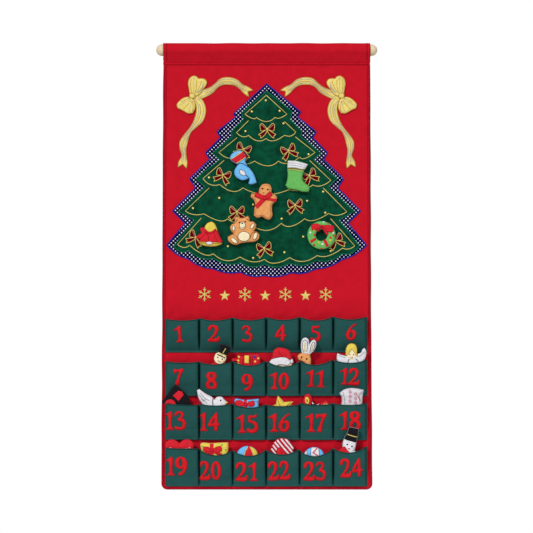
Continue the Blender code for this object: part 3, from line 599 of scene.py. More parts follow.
def cords(lines: Sequence[Sequence[Sequence[float]]], radius: float,
          closed: bool = False) -> bmesh.types.BMesh:
    """Make round threads.

    Args:
        lines: The (x, y, z) points that each thread runs through.
        radius: Radius of the threads.
        closed: Whether each thread comes back to its start.

    Returns:
        The closed mesh.
    """
    data = bpy.data.curves.new("cords", "CURVE")
    data.dimensions = "3D"
    data.bevel_depth = radius
    data.bevel_resolution = CORD_BEVEL
    data.use_fill_caps = True
    for line in lines:
        spline = data.splines.new("POLY")
        spline.points.add(len(line) - 1)
        for point, at in zip(spline.points, line):
            point.co = (*at, 1.0)
        spline.use_cyclic_u = closed
    holder = bpy.data.objects.new("cords", data)
    bpy.context.collection.objects.link(holder)
    mesh = holder.to_mesh()
    bm = bmesh.new()
    bm.from_mesh(mesh)
    holder.to_mesh_clear()
    bpy.data.objects.remove(holder, do_unlink=True)
    bpy.data.curves.remove(data)
    bmesh.ops.remove_doubles(bm, verts=bm.verts[:], dist=MERGE / 10)
    return outward(bm)


def laid(line: Loop, under: Under, lift: float) -> list[tuple[float, float, float]]:
    """Lay a flat line on a surface.

    Args:
        line: Its (x, z) points.
        under: The y of the surface.
        lift: How far in front of the surface the line goes.

    Returns:
        Its (x, y, z) points.
    """
    flat = np.asarray(line, float)
    depth = under(flat[:, 0], flat[:, 1]) - lift
    return [(float(x), float(y), float(z)) for (x, z), y in zip(flat, depth)]


def round_edge(loop: Loop, under: Under, lift: float) -> list[tuple[float, float, float]]:
    """Lay a line round a closed outline, back to its start, as `laid` does."""
    return laid(loop + loop[:1], under, lift)


class Piece:
    """One named visible piece, gathered from closed parts with their finishes."""

    def __init__(self, name: str) -> None:
        """Start an empty piece."""
        self.name = name
        self.bm = bmesh.new()
        self.finishes: list[Finish] = []

    def add(self, part: bmesh.types.BMesh, finish: Finish, place: Matrix | None = None) -> None:
        """Take in a part.

        Args:
            part: The closed mesh, which is used up.
            finish: Its finish.
            place: Where it goes, or None where it is in place.
        """
        if finish not in self.finishes:
            self.finishes.append(finish)
        index = self.finishes.index(finish)
        for face in part.faces:
            face.material_index = index
            face.smooth = True
        if place is not None:
            part.transform(place)
        mesh = bpy.data.meshes.new("part")
        part.to_mesh(mesh)
        part.free()
        self.bm.from_mesh(mesh)
        bpy.data.meshes.remove(mesh)

    def done(self, body: str, *nodes: str) -> bpy.types.Object:
        """Make the object.

        Args:
            body: The CAD body that it moves with.
            nodes: The CAD nodes that it stands for.

        Returns:
            The finished object.
        """
        obj = self.loose()
        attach(obj, body)
        if nodes:
            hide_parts(*nodes)
        return obj

    def loose(self) -> bpy.types.Object:
        """Make the object without giving it to a body.

        Returns:
            The object.
        """
        mesh = bpy.data.meshes.new(self.name)
        self.bm.to_mesh(mesh)
        LOG.info("%s: %d faces", self.name, len(self.bm.faces))
        self.bm.free()
        for finish in self.finishes:
            mesh.materials.append(finish.material())
        obj = bpy.data.objects.new(self.name, mesh)
        bpy.context.collection.objects.link(obj)
        return obj


# --- Rod and sleeve ---------------------------------------------------------------------------


@dataclass
class Rod:
    """The wooden rod with its domed ends."""

    diameter: float = 0.0254
    length: float = 0.478
    dome: float = 0.0127
    dome_steps: int = 12
    rounds: int = 64

    def build(self) -> bpy.types.Object:
        """Turn the rod's profile round its axis.

        Returns:
            The rod.
        """
        radius, half = self.diameter / 2, self.length / 2
        profile = [(-half, 0.0)]
        for k in range(1, self.dome_steps + 1):
            a = math.pi / 2 * k / self.dome_steps
            profile.append((-half + self.dome * (1 - math.cos(a)), radius * math.sin(a)))
        profile += [(-x, r) for x, r in reversed(profile)]
        bm = bmesh.new()
        verts = [bm.verts.new((x, 0.0, r)) for x, r in profile]
        edges = [bm.edges.new(pair) for pair in zip(verts, verts[1:])]
        bmesh.ops.spin(bm, geom=verts + edges, cent=(0, 0, 0), axis=(1, 0, 0), angle=math.tau,
                       steps=self.rounds, use_merge=True)
        bmesh.ops.remove_doubles(bm, verts=bm.verts[:], dist=MERGE)
        piece = Piece("wooden_rod")
        piece.add(outward(bm), PINE)
        return piece.done("rod", "hanging_rod")


@dataclass
class Sleeve:
    """The sleeve that the rod runs through, with its seam and hemmed ends."""

    width: float = 0.447
    radius: float = 0.0145
    cloth: float = 0.0013
    seam: float = -0.0313
    tab: float = 0.0015
    hem: float = 0.0072
    rim: float = 0.0008
    puff: float = 0.0006
    pull: float = 0.0008
    tab_steps: int = 7
    turn_steps: int = 48

    def section(self) -> np.ndarray:
        """Draw the cloth's line from the front of the seam over the rod to its back.

        Returns:
            The (y, z) points.
        """
        reach, drop = self.radius, -self.seam
        start = math.acos(min(1.0, reach / drop)) * 0.92
        low = math.pi + (math.pi / 2 - start)
        y, z = reach * math.cos(low), reach * math.sin(low)
        points = [(-self.tab, self.seam)]
        for k in range(1, self.tab_steps):
            t = k / self.tab_steps
            points.append((-self.tab + (y + self.tab) * t, self.seam + (z - self.seam) * t))
        for k in range(self.turn_steps + 1):
            angle = low - (2 * low - math.pi) * k / self.turn_steps
            points.append((reach * math.cos(angle), reach * math.sin(angle)))
        points += [(-y, z) for y, z in reversed(points[:self.tab_steps])]
        return np.array(points)

    def build(self) -> bpy.types.Object:
        """Bend the cloth over the rod and sew its ends.

        Returns:
            The sleeve.
        """
        line = self.section()
        lengths = lengths_along(line)

        def shape(u: np.ndarray, v: np.ndarray) -> np.ndarray:
            along = v * lengths[-1]
            y, z = np.interp(along, lengths, line[:, 0]), np.interp(along, lengths, line[:, 1])
            x = (u - 0.5) * self.width
            puff = self.puff * (1 + ripple(x * 0.5, along, 0.030, 3)) * np.sin(math.pi * v)
            near_seam = np.exp(-((along / lengths[-1] - 0.08) / 0.10) ** 2)
            pull = self.pull * np.abs(ripple(x, along * 0.35, 0.018, 5)) * near_seam
            out = 1 + (puff + pull) / self.radius
            end = 0.0006 * ripple(y * 3, z * 3, 0.05, 9) * (np.abs(u - 0.5) * 2) ** 8
            on_rod = z > self.seam + 0.004
            return np.stack([x + end, y * out, np.where(on_rod, z * out, z)], 1)

        bm, area = cloth(170, 62, shape, self.cloth)
        piece = Piece("sleeve_cloth")
        piece.add(bm, PANEL_RED)
        seams = []
        for inset, out in ((self.hem, 1.075), (self.rim, 1.03)):
            for side in (-1, 1):
                x = side * (self.width / 2 - inset)
                seams.append([(x, y * out, z * out) for y, z in line[3:-3]])
        piece.add(cords(seams, THREAD), STITCH_RED)
        obj = piece.done("sleeve", "rod_sleeve")
        return obj


# --- Banner -----------------------------------------------------------------------------------


@dataclass
class Banner:
    """The padded banner: front cloth, wadding, backing and binding.

    Attributes:
        inset: How far the front and the back stop short of the edge.
        binding: Half the thickness of the binding.
        tape: Width of the strip that the binding is folded from.
        wrap: Share of the way round the edge that it covers.
        sewn: How far in from the edge it is sewn down.
        fold_foot: Height of the foot of the strip that bends at the seam.
    """

    top: float = -0.0316
    drop: float = 0.9182
    top_width: float = 0.447
    bottom_width: float = 0.456
    corner: float = 0.010
    cloth: float = 0.0010
    inset: float = 0.002
    binding: float = 0.0031
    # tape: Width of the strip that the binding is folded from; not used.
    tape: float = 0.0160
    wrap: float = 0.9
    sewn: float = 0.0066
    waves: float = 0.0011
    # fold_foot: Height of the foot of the strip at the seam.
    fold_foot: float = -0.0370
    fold_height: float = 0.0105

    def sway(self, x: np.ndarray, z: np.ndarray) -> np.ndarray:
        """Return how far the whole banner waves towards the viewer at each point."""
        fade = np.clip((self.top - z - 0.01) / 0.12, 0, 1)
        return self.waves * fade * ripple(x, z, 0.26, 11)

    def panel(self, x: np.ndarray, z: np.ndarray) -> np.ndarray:
        """Find the front cloth's face, puckered at the mouths and flat under the pockets.

        Args:
            x: Places across.
            z: Their heights.

        Returns:
            The y of the face at each place.
        """
        puff = 0.0006 * (1 + ripple(x, z, 0.05, 12))
        pucker = np.zeros(np.shape(x))
        edge = np.clip((self.half(z) - np.abs(x)) / 0.012, 0, 1)
        for row in range(ROWS.rows):
            mouth = ROWS.mouth(row)
            near = np.exp(-((z - mouth - 0.006) / 0.013) ** 2)
            pucker = pucker + near * (0.0011 * ripple(x, z * 0.3, 0.021, 20 + row))
            above = np.clip((z - mouth + 0.004) / 0.006, 0, 1)
            below = np.clip((ROWS.foot(row) + 0.002 - z) / 0.004, 0, 1)
            edge = edge * np.maximum(above, below)
        return PANEL_FACE - self.sway(x, z) - edge * (puff + pucker)

    def half(self, z: np.ndarray) -> np.ndarray:
        """Return half the width at a height."""
        share = np.clip((self.top - z) / self.drop, 0, 1)
        return (self.top_width + (self.bottom_width - self.top_width) * share) / 2

    def grid(self, depth: Under, front: bool) -> Callable[[np.ndarray, np.ndarray], np.ndarray]:
        """Shape a cloth that covers the banner.

        Args:
            depth: The y of the cloth.
            front: Whether its face is to the front, or to the back.

        Returns:
            The shape, as `cloth` takes it.
        """

        def shape(u: np.ndarray, v: np.ndarray) -> np.ndarray:
            z = self.top - (1 - v if front else v) * (self.drop - self.inset)
            half = self.half(z) - self.inset
            round_off = np.clip((self.top - self.drop + self.corner - z) / self.corner, 0, 1)
            half = half - self.corner * (1 - np.sqrt(np.maximum(1 - round_off**2, 0)))
            x = (u - 0.5) * 2 * half
            return np.stack([x, depth(x, z), z], 1)

        return shape

    def outline(self, inset: float) -> Loop:
        """Draw a line down one side, along the foot and up the other side.

        Args:
            inset: How far in from the banner's edge it is.

        Returns:
            Its points, from top left to top right.
        """
        low = self.top - self.drop + inset
        half = float(self.half(np.array(low))) - inset
        top = float(self.half(np.array(self.top))) - inset
        line = [(-top + (top - half) * t, self.top + (low + self.corner - self.top) * t)
                for t in np.linspace(0, 1, 150)]
        line += [(-half + self.corner * (1 - math.cos(a)), low + self.corner * (1 - math.sin(a)))
                 for a in np.linspace(0, math.pi / 2, 9)[1:]]
        line += [(x, low) for x in np.linspace(-half + self.corner, 0, 40)[1:]]
        return line + [(-x, z) for x, z in reversed(line[:-1])]

    def back(self, x: np.ndarray, z: np.ndarray) -> np.ndarray:
        """Return the y of the backing's face."""
        return 0.0023 - self.sway(x, z) + 0.0004 * ripple(x, z, 0.08, 31)

    def build(self) -> None:
        """Make the cloths of the banner, each a piece of its own."""
        sides = (("front_cloth", PANEL_RED, self.panel, (150, 300), ("front_panel",)),
                 ("backing_cloth", BACK_RED, self.back, (90, 180), ("backing", "wadding")))
        for name, finish, depth, faces, nodes in sides:
            bm, _ = cloth(*faces, self.grid(depth, name == "front_cloth"), self.cloth)
            piece = Piece(name)
            piece.add(bm, finish)
            piece.done("banner", *nodes)
        self.build_binding()

    def build_binding(self) -> None:
        """Fold the binding over the edge and sew it down."""
        line = np.array(self.outline(self.binding))
        wobble = 0.0006 * ripple(line[:, 0], line[:, 1], 0.16, 33)
        outward = np.where(np.abs(line[:, 0]) > 0.2, np.sign(line[:, 0]), 0.0)
        depth = -self.sway(line[:, 0], line[:, 1])
        path = np.stack([line[:, 0] + wobble * outward, depth, line[:, 1]], 1)
        along = np.gradient(path, axis=0)
        out = np.stack([along[:, 2], -along[:, 0]], 1)
        out /= np.linalg.norm(out, axis=1)[:, None]
        radius = self.binding - self.cloth

        def wrapped(u: np.ndarray, v: np.ndarray) -> np.ndarray:
            at = np.round(u * (len(path) - 1)).astype(int)
            turn = (v - 0.5) * math.tau * self.wrap
            reach = radius * np.cos(turn)
            return path[at] + np.stack([out[at, 0] * reach, radius * np.sin(turn),
                                        out[at, 1] * reach], 1)

        bm, _ = cloth(len(path) - 1, 18, wrapped, self.cloth)
        piece = Piece("binding_cloth")
        # Its darker red is painted shade on the rounded edge.
        piece.add(bm, EDGE_RED)
        piece.add(cords([laid(self.outline(self.sewn), self.panel, 0.0002)], THREAD), STITCH_RED)
        bound = piece.done("banner", "edge_binding")

    def build_seam(self) -> None:
        """Make the strip of cloth at the seam where the banner hangs from the sleeve."""

        def shape(u: np.ndarray, v: np.ndarray) -> np.ndarray:
            x = (u - 0.5) * (self.top_width - 0.002)
            z = self.fold_foot + v * self.fold_height
            return np.stack([x, 0.0 * x - 0.0024 - 0.0008 * np.sin(math.pi * v), z], 1)

        bm, _ = cloth(80, 10, shape, 0.0012)
        piece = Piece("seam_fold")
        piece.add(bm, PANEL_RED)
        half = self.top_width / 2 - 0.003
        # The dark red thread along the seam is stitching, and painted shadow under the sleeve's
        # edge.
        line = [(x, -0.0042, -0.0315) for x in np.linspace(-half, half, 60)]
        piece.add(cords([line], THREAD), STITCH_RED)
        obj = piece.loose()
        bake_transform(obj)


@dataclass
class PocketRows:
    """Four pleated strips of six pockets, with their hems and numerals.

    Attributes:
        slot: Width of a pleat between two pockets.
        bulge: How far a pocket stands out at its mouth.
        cad_bulge: The same, inside the solid's pocket.
        seat: How far the strip is in front of the wadding's middle.
        first: Depth of the first row's mouths below the rod's axis.
        sags: How far the solids' mouths sag, by row.
        leans: How far the ornaments lean forward, by row, in radians.
        cover: How far the cloth is in front of the middle of the ornament that it covers.
        boxiness: Power of the pocket's curve across, which makes it squarer.
        margin: How far the strip passes the outer pockets' pleats.
    """

    pitch: float = 0.0723
    offset: float = -0.0012
    slot: float = 0.0042
    bulge: float = 0.0203
    cad_bulge: float = 0.0195
    seat: float = 0.0032
    cloth: float = 0.0013
    first: float = 0.5802
    spacing: float = 0.0935
    heights: tuple[float, ...] = (0.0735, 0.0735, 0.0750, 0.0818)
    sags: tuple[float, ...] = (0.0045, 0.0085, 0.0055, 0.0125)
    leans: tuple[float, ...] = (0.0, 0.204, 0.199, 0.224)
    cover: float = 0.0078
    boxiness: float = 9.0
    count: int = 6
    samples: int = 46
    margin: float = 0.0012
    digit_heights: tuple[float, ...] = (0.0352, 0.0366, 0.0400, 0.0405)

    @property
    def rows(self) -> int:
        """Return the number of rows."""
        return len(self.heights)

    def mouth(self, row: int) -> float:
        """Return the height of a row's mouths at the pleats."""
        return -(self.first + row * self.spacing)

    def foot(self, row: int) -> float:
        """Return the height of a row's foot."""
        return self.mouth(row) - self.heights[row]

    def centre(self, column: int) -> float:
        """Return the x of a pocket's middle."""
        return self.offset + (column - (self.count - 1) / 2) * self.pitch

    def across(self, x: np.ndarray) -> tuple[np.ndarray, np.ndarray]:
        """Find the pockets that places across are in.

        Args:
            x: The places.

        Returns:
            Each one's column, and how far across its pocket it is, from -1 to 1.
        """
        middle = (self.count - 1) / 2
        column = np.round((np.asarray(x) - self.offset) / self.pitch + middle)
        column = np.clip(column, 0, self.count - 1).astype(int)
        half = (self.pitch - self.slot) / 2
        share = (x - (self.offset + (column - middle) * self.pitch)) / half
        return column, np.clip(share, -1, 1)

    def top(self, row: int, x: np.ndarray) -> np.ndarray:
        """Find the height of the mouths, which sag between the pleats.

        Args:
            row: The row.
            x: Places across.

        Returns:
            The height at each place.
        """
        column, share = self.across(x)
        heights = np.array([[spot(0, y)[1] for y in three] for three in MOUTHS_PX[row]])
        left, middle, right = heights[column].T
        ends = (left + right) / 2
        return ends + (right - left) / 2 * share - (ends - middle) * (1 - share**2)

    def against(self, row: int, z: np.ndarray) -> np.ndarray:
        """Find how far the cloth has to stand out for the ornament that leans on its lip.

        Args:
            row: The row. Nothing stands in the first row's pockets.
            z: Heights.

        Returns:
            The distance at each height.
        """
        if row == 0:
            return 0.0 * z
        above = z - (self.mouth(row) - Ornament.seat_depth)
        return -Ornament.foot_y + above * math.tan(self.leans[row]) + self.cover - self.seat

    def fullness(self, v: np.ndarray) -> np.ndarray:
        """Return the share of the bulge at a share of the height."""
        w = np.clip((v - 0.05) / 0.95, 0, 1)
        return 1 - (1 - w) ** 2.4

    def creases(self, row: int, x: np.ndarray, z: np.ndarray) -> np.ndarray:
        """Return how far the cloth's soft creases stand out."""
        soft = 0.0005 * (1 + ripple(x * 1.6, z * 0.7, 0.034, 40 + row))
        return soft + 0.0002 * ripple(x, z, 0.012, 50 + row)

    def relief(self, row: int, x: np.ndarray, z: np.ndarray, v: np.ndarray,
               share: np.ndarray) -> np.ndarray:
        """Find the strip's face.

        Args:
            row: The row.
            x: Places across.
            z: Their heights.
            v: Their shares of the row's height.
            share: How far each stands out, as a share of its pocket's middle.

        Returns:
            The y at each place.
        """
        full = self.fullness(v)
        out = np.maximum(self.bulge * full, self.against(row, z)) + self.creases(row, x, z) * full
        return -(self.seat + out * share) - BANNER.sway(x, z)

    def face(self, row: int) -> Under:
        """Return the y of the fronts of a row's pockets, for what is sewn to them."""

        def under(x: np.ndarray, z: np.ndarray) -> np.ndarray:
            _, across = self.across(x)
            foot = self.foot(row)
            v = np.clip((z - foot) / (self.top(row, x) - foot), 0, 1)
            share = np.maximum(1 - np.abs(across) ** self.boxiness, 0) ** (1 / self.boxiness)
            return self.relief(row, x, z, v, share)

        return under

    def pleats(self) -> tuple[np.ndarray, np.ndarray]:
        """Draw the line of a strip as seen from above.

        Returns:
            Its x, and how far it stands out, as a share, evenly spaced in each pocket.
        """
        half = (self.pitch - self.slot) / 2
        angles = np.linspace(0, math.pi, 400)
        power = 2 / self.boxiness
        across = -np.sign(np.cos(angles)) * np.abs(np.cos(angles)) ** power
        out = np.sin(angles) ** power
        lengths = lengths_along(np.stack([across * half, out * self.bulge], 1))
        even = np.linspace(0, lengths[-1], self.samples)
        one_x, one_out = np.interp(even, lengths, across), np.interp(even, lengths, out)
        xs, outs = [self.centre(0) - self.pitch / 2 - self.margin], [0.0]
        for column in range(self.count):
            xs += list(self.centre(column) + one_x * half)
            outs += list(one_out)
        xs.append(self.centre(self.count - 1) + self.pitch / 2 + self.margin)
        return np.array(xs), np.array([*outs, 0.0])

    def build(self, row: int) -> None:
        """Make one row with its hem and its numerals.

        Args:
            row: The row, from 0 at the top.
        """
        xs, outs = self.pleats()
        foot, columns = self.foot(row), len(xs) - 1

        def shape(u: np.ndarray, v: np.ndarray) -> np.ndarray:
            index, at = u * columns, np.arange(len(xs))
            x, share = np.interp(index, at, xs), np.interp(index, at, outs)
            z = foot + v * (self.top(row, x) - foot)
            return np.stack([x, self.relief(row, x, z, v, share), z], 1)

        bm, area = cloth(columns, 40, shape, self.cloth)
        piece = Piece(f"pocket_strip_{row + 1}")
        piece.add(bm, POCKET)
        left = self.centre(0) - self.pitch / 2 - 0.001
        right = self.centre(self.count - 1) + self.pitch / 2 + 0.001
        # The hem along the foot is a touch lighter: painted highlight on its fold.
        low, high = foot + 0.0002, foot + 0.0044
        hem = flowing([(left, low), (right, low), (right, high), (left, high)], 0.004)
        face = self.face(row)
        piece.add(slab([hem], 0.004, lambda x, z: face(x, z) - 0.0003, 0.0008, 0.0024), POCKET_HEM)
        lips = []
        for column in range(self.count):
            x = self.centre(column) + np.linspace(-0.94, 0.94, 40) * (self.pitch - self.slot) / 2
            lips.append(laid(list(zip(x, self.top(row, x) - 0.0012)), face, 0.0001))
        # A dark cord down the middle of each pleat: the line where the strip is sewn down, darkened
        # as painted shade deep in the slot between two pockets.
        for column in range(1, self.count):
            z = np.linspace(foot + 0.0050, foot + 0.0400, 20)
            line = list(zip(0 * z + self.centre(column) - self.pitch / 2, z))
            lips.append(laid(line, lambda x, z: -self.seat - BANNER.sway(x, z), 0.0003))
        piece.add(cords(lips, 0.0007), POCKET_LIP)
        obj = piece.done("banner", f"pocket_row_{row + 1}")
        self.build_numerals(row)

    def build_numerals(self, row: int) -> None:
        """Sew a padded numeral to each pocket of a row.

        Args:
            row: The row, from 0 at the top.
        """
        piece = Piece(f"numerals_{row + 1}")
        under, edges = self.face(row), []
        scale = self.digit_heights[row] / DIGIT_HEIGHT
        for number in range(row * self.count + 1, (row + 1) * self.count + 1):
            x_px, y_px, tilt = NUMERAL_PLACES_PX[number - 1]
            cursor, glyphs = 0.0, []
            for digit in str(number):
                glyphs.append((cursor, DIGITS[digit]))
                cursor += max(x for x, _ in DIGITS[digit][0]) + DIGIT_GAP
            width = cursor - DIGIT_GAP
            squeeze = min(1.0, NUMERAL_WIDTH / width)
            for start, loops in glyphs:
                placed = []
                for loop in loops:
                    flat = [(((x + start) - width / 2) * scale * squeeze,
                             (y - DIGIT_HEIGHT / 2) * scale) for x, y in loop]
                    placed.append(flowing(turned(flat, spot(x_px, y_px), tilt), 0.0014))
                piece.add(slab(placed, 0.0012, under, 0.0014, 0.0010, sink=0.0002), NUMERAL_RED)
                # A dark red cord round each numeral, shifted down and to the right: an edge line,
                # and painted shade on the numerals' undersides.
                low = [[(x + 0.0003, z - 0.0006) for x, z in loop] for loop in placed]
                edges += [round_edge(loop, under, 0.0004) for loop in low]
        piece.add(cords(edges, 0.0006), DARK_RED_LINE)
        piece.done("banner")


# Heights of each mouth at its left pleat, in its middle and at its right pleat, row by row
MOUTHS_PX = [
    [(318.8, 320.2, 318.8), (318, 320.2, 317.7), (317.6, 320, 317.4), (317, 319.7, 317),
        (316.8, 320.2, 316.6), (316.8, 319.2, 316.8)],
    [(361.1, 362.4, 361.6), (362, 364.2, 361.4), (361.4, 365.3, 361.1), (360.8, 366, 361.6),
        (361.2, 364.4, 359.2), (359.8, 362.6, 359.8)],
    [(403.2, 404.3, 404.6), (403.4, 405.2, 403.4), (404.1, 407.1, 404.6), (404.6, 405.8, 404.1),
        (402.8, 404.6, 403.2), (403.2, 404.6, 403.1)],
    [(447.5, 447.9, 448.2), (449.7, 454.7, 450.5), (450.5, 455.3, 450.1), (450.1, 454, 449.1),
        (451.3, 455.5, 448.7), (448.5, 452.1, 446.3)]]
NUMERAL_PLACES_PX = [
    (178.5, 333.6, 6), (214, 333, 0), (247, 333.5, 0), (280.5, 332.5, 0), (315, 333, 0),
    (351, 331.5, 0),
    (178.5, 376.5, 0), (211.5, 380, 0), (247, 382, 0), (279, 380.5, -3), (315, 378, -3),
    (349.5, 376, -3),
    (175, 420, 0), (209, 421, 0), (247, 423, 0), (279, 422, 0), (315.5, 422, 0), (349.5, 420, 0),
    (176, 465.5, 0), (210, 470, 0), (246.5, 471, 0), (279, 470, 3), (314.5, 470.5, 0),
    (351, 467, 3)]
DIGIT_HEIGHT = 100
DIGIT_GAP = 3
NUMERAL_WIDTH = 118  # a wider numeral is squeezed to this, in the same units
# Outlines of the digits and their holes, with +y up
DIGITS: dict[str, list[Loop]] = {
    "1": [[(0, 78), (20, 88), (36, 100), (44, 98), (45, 90), (45, 12), (48, 8), (55, 5), (53, 0),
        (12, 0), (10, 4), (20, 8), (23, 12), (23, 74), (20, 78), (4, 74)]],
    "2": [[(1, 78), (4, 89), (16, 99), (33, 101), (52, 97), (62, 84), (62, 67), (52, 45), (36, 26),
        (25, 16), (41, 18), (55, 18), (63, 29), (70, 30), (74, 18), (68, 4), (60, 0), (1, 1),
        (0, 8), (22, 29), (38, 51), (44, 70), (40, 84), (32, 89), (22, 85), (18, 75), (11, 66),
        (3, 68)]],
    "3": [[(3, 86), (9, 96), (22, 100), (40, 99), (50, 90), (53, 78), (46, 68), (40, 62), (55, 55),
        (64, 40), (62, 19), (53, 4), (35, 0), (14, 1), (3, 6), (1, 15), (5, 19), (14, 17), (29, 13),
        (42, 15), (47, 27), (45, 40), (37, 46), (24, 49), (19, 55), (24, 63), (35, 71), (37, 81),
        (32, 90), (22, 90), (14, 83), (6, 73), (1, 77)]],
    "4": [[(0, 31), (42, 94), (48, 100), (56, 96), (57, 43), (70, 37), (68, 29), (57, 28), (55, 6),
        (51, 0), (39, 1), (37, 6), (37, 27), (4, 25), (0, 28)], [(20, 38), (38, 68), (38, 40)]],
    "5": [[(11, 90), (18, 95), (38, 93), (58, 100), (57, 88), (46, 82), (24, 82), (21, 70),
        (38, 64), (58, 53), (65, 35), (60, 11), (42, 0), (16, 1), (0, 11), (4, 22), (13, 23),
        (27, 16), (42, 20), (47, 35), (42, 46), (27, 55), (11, 57)]],
    "6": [[(62, 99), (48, 96), (32, 85), (13, 64), (0, 39), (2, 16), (14, 2), (32, 0), (49, 7),
        (58, 23), (59, 45), (51, 58), (38, 61), (27, 57), (32, 70), (44, 85), (59, 93)], [(30, 50),
        (38, 45), (40, 29), (35, 13), (27, 10), (21, 20), (21, 39)]],
    "7": [[(2, 72), (0, 93), (7, 96), (27, 94), (54, 100), (57, 89), (47, 72), (35, 39), (30, 3),
        (25, -1), (10, 0), (9, 5), (19, 35), (30, 66), (34, 79), (17, 81), (7, 71)]],
    "8": [[(32, 100), (48, 98), (59, 88), (61, 75), (55, 59), (51, 52), (61, 40), (65, 24), (61, 8),
        (48, 1), (32, 0), (16, 1), (4, 9), (0, 24), (4, 40), (15, 52), (8, 63), (3, 76), (6, 89),
        (16, 98)], ellipse((32, 77), (8.5, 12), sides=10), ellipse((32, 26), (12, 15), sides=12)],
    "9": [[(31, 100), (52, 95), (65, 74), (66, 49), (56, 22), (38, 4), (21, 0), (16, 6), (23, 13),
        (40, 25), (45, 41), (33, 37), (16, 41), (2, 56), (0, 74), (9, 91)], ellipse((31, 69),
        (10, 22), sides=12)],
    "0": [ellipse((32, 50), (32, 50), sides=20), ellipse((31, 50), (11, 37), sides=16)],
}
BANNER = Banner()
ROWS = PocketRows()


# --- Tree -------------------------------------------------------------------------------------


@dataclass
class Tree:
    """The velvet tree on its dotted border, with garlands and beads.

    Each half is a right side, from the middle line, each skirt its cusps from right to left, and
    each bulge how far the scallops hang below them, all in pixels.
    """

    middle_px: float = 266.6
    border_half: tuple[Point, ...] = (
        (0, 83.9), (34, 112), (31, 117), (49.6, 131.8), (46, 137.7), (61, 152.6), (57, 159.3),
        (77, 178.8),
        (71, 187.8), (94, 211), (81.5, 223.2), (100, 245.2))
    tree_half: tuple[Point, ...] = (
        (0, 91), (25.5, 111.6), (23, 119), (35.2, 131.4), (34.2, 136.6), (54.2, 153.1),
        (46.6, 159.6), (70.4, 178.6),
        (61.1, 187.2), (87.7, 211.2), (72.2, 220), (92.8, 246))
    border_skirt: tuple[Point, ...] = (
        (342.4, 259.3), (315.7, 268.7), (291, 272.6), (264.5, 275.4), (240, 271.9), (212.6, 268.4),
        (188, 258.6))
    tree_skirt: tuple[Point, ...] = (
        (342.6, 253.4), (317, 260.2), (290, 263), (264.5, 263.9), (240, 262.4), (213.6, 258.2),
        (188.4, 250.2))
    border_bulge: float = 2.5
    tree_bulge: float = 3.6
    pile: float = 0.0004
    edge: float = 0.0012
    garland: float = 0.0008
    pull: float = 0.0010
    bead: float = 0.0026
    lines: list[Loop] = field(default_factory=list)

    def outline(self, half: Sequence[Point], skirt: Sequence[Point], bulge: float) -> Loop:
        """Draw the tree's stepped sides and scalloped skirt.

        Args:
            half: The right side, relative to the middle, in pixels.
            skirt: The cusps of the skirt, from right to left, in pixels.
            bulge: How far each scallop hangs below its cusps, in pixels.

        Returns:
            The closed outline.
        """
        right = [(self.middle_px + x, y) for x, y in half]
        left = [(self.middle_px - x, y) for x, y in reversed(half) if x > 0]
        cusps = [right[-1], *skirt, left[0]]
        foot: list[Point] = []
        for a, b in zip(cusps, cusps[1:]):
            for k in range(1, 9):
                t = k / 8
                sag = bulge * 4 * t * (1 - t)
                foot.append((a[0] + (b[0] - a[0]) * t, a[1] + (b[1] - a[1]) * t + sag))
        line = flowing(traced(right), 0.004, closed=False, sharp=25)
        line += traced(foot)[:-1]
        return line + flowing(traced(left), 0.004, closed=False, sharp=25)[:-1]

    def border_face(self, x: np.ndarray, z: np.ndarray) -> np.ndarray:
        """Return the y of the border's face."""
        return BANNER.panel(x, z) - 0.0010

    def face(self, x: np.ndarray, z: np.ndarray) -> np.ndarray:
        """Find the velvet's face, drawn in along the garlands.

        Args:
            x: Places across.
            z: Their heights.

        Returns:
            The y of the face at each place.
        """
        depth = away(x, z, self.lines, closed=False)
        pulled = self.pull * np.exp(-((depth / 0.0035) ** 2))
        soft = TREE_FACE - BANNER.sway(x, z) - 0.0006 - 0.0005 * ripple(x, z, 0.035, 61)
        return np.minimum(soft + pulled, BANNER.panel(x, z) - 0.0019)

    def velvet(self, outline: Loop) -> bmesh.types.BMesh:
        """Lay the velvet on the border, rounded down to it at its edge.

        Args:
            outline: Its outline.

        Returns:
            The closed mesh.
        """
        bm, at, is_front = two_layers([outline], 0.0032)
        x, z = at[:, 0], at[:, 2]
        share = dome(away(x, z, [outline]), 0.004)
        base = self.border_face(x, z)
        front = base - self.pile + (self.face(x, z) - base + self.pile) * share
        at[:, 1] = np.where(is_front, front, base + self.pile)
        move_to(bm, at)
        return outward(bm)

    def build(self) -> None:
        """Make the border, the velvet, the garlands and the beads."""
        self.lines = self.garland_lines()
        border = self.outline(self.border_half, self.border_skirt, self.border_bulge)
        piece = Piece("dotted_border")
        piece.add(slab([border], 0.006, BANNER.panel, 0.0012, 0.002), NAVY_DOTS)
        edge = laid(border, BANNER.panel, 0.0009)
        piece.add(cords([edge], self.edge, closed=True), ROYAL_EDGE)
        piece.done("banner", "tree_border")
        outline = self.outline(self.tree_half, self.tree_skirt, self.tree_bulge)
        piece = Piece("velvet_tree")
        piece.add(self.velvet(outline), TREE_VELVET)
        edge = laid(outline, self.border_face, 0.0008)
        piece.add(cords([edge], self.edge, closed=True), TREE_EDGE)
        piece.done("banner", "tree")
        piece = Piece("garlands")
        garlands = [laid(line, self.face, 0.0005) for line in self.lines]
        piece.add(cords(garlands, self.garland), GOLD_THREAD)
        piece.done("banner")
        piece = Piece("beads")
        for x, y, z in laid(traced(BEADS_PX), self.face, 0.0012):
            bm = bmesh.new()
            bmesh.ops.create_uvsphere(bm, u_segments=20, v_segments=12, radius=self.bead)
            piece.add(bm, GOLD_BEAD, Matrix.Translation((x, y, z)))
        piece.done("banner")

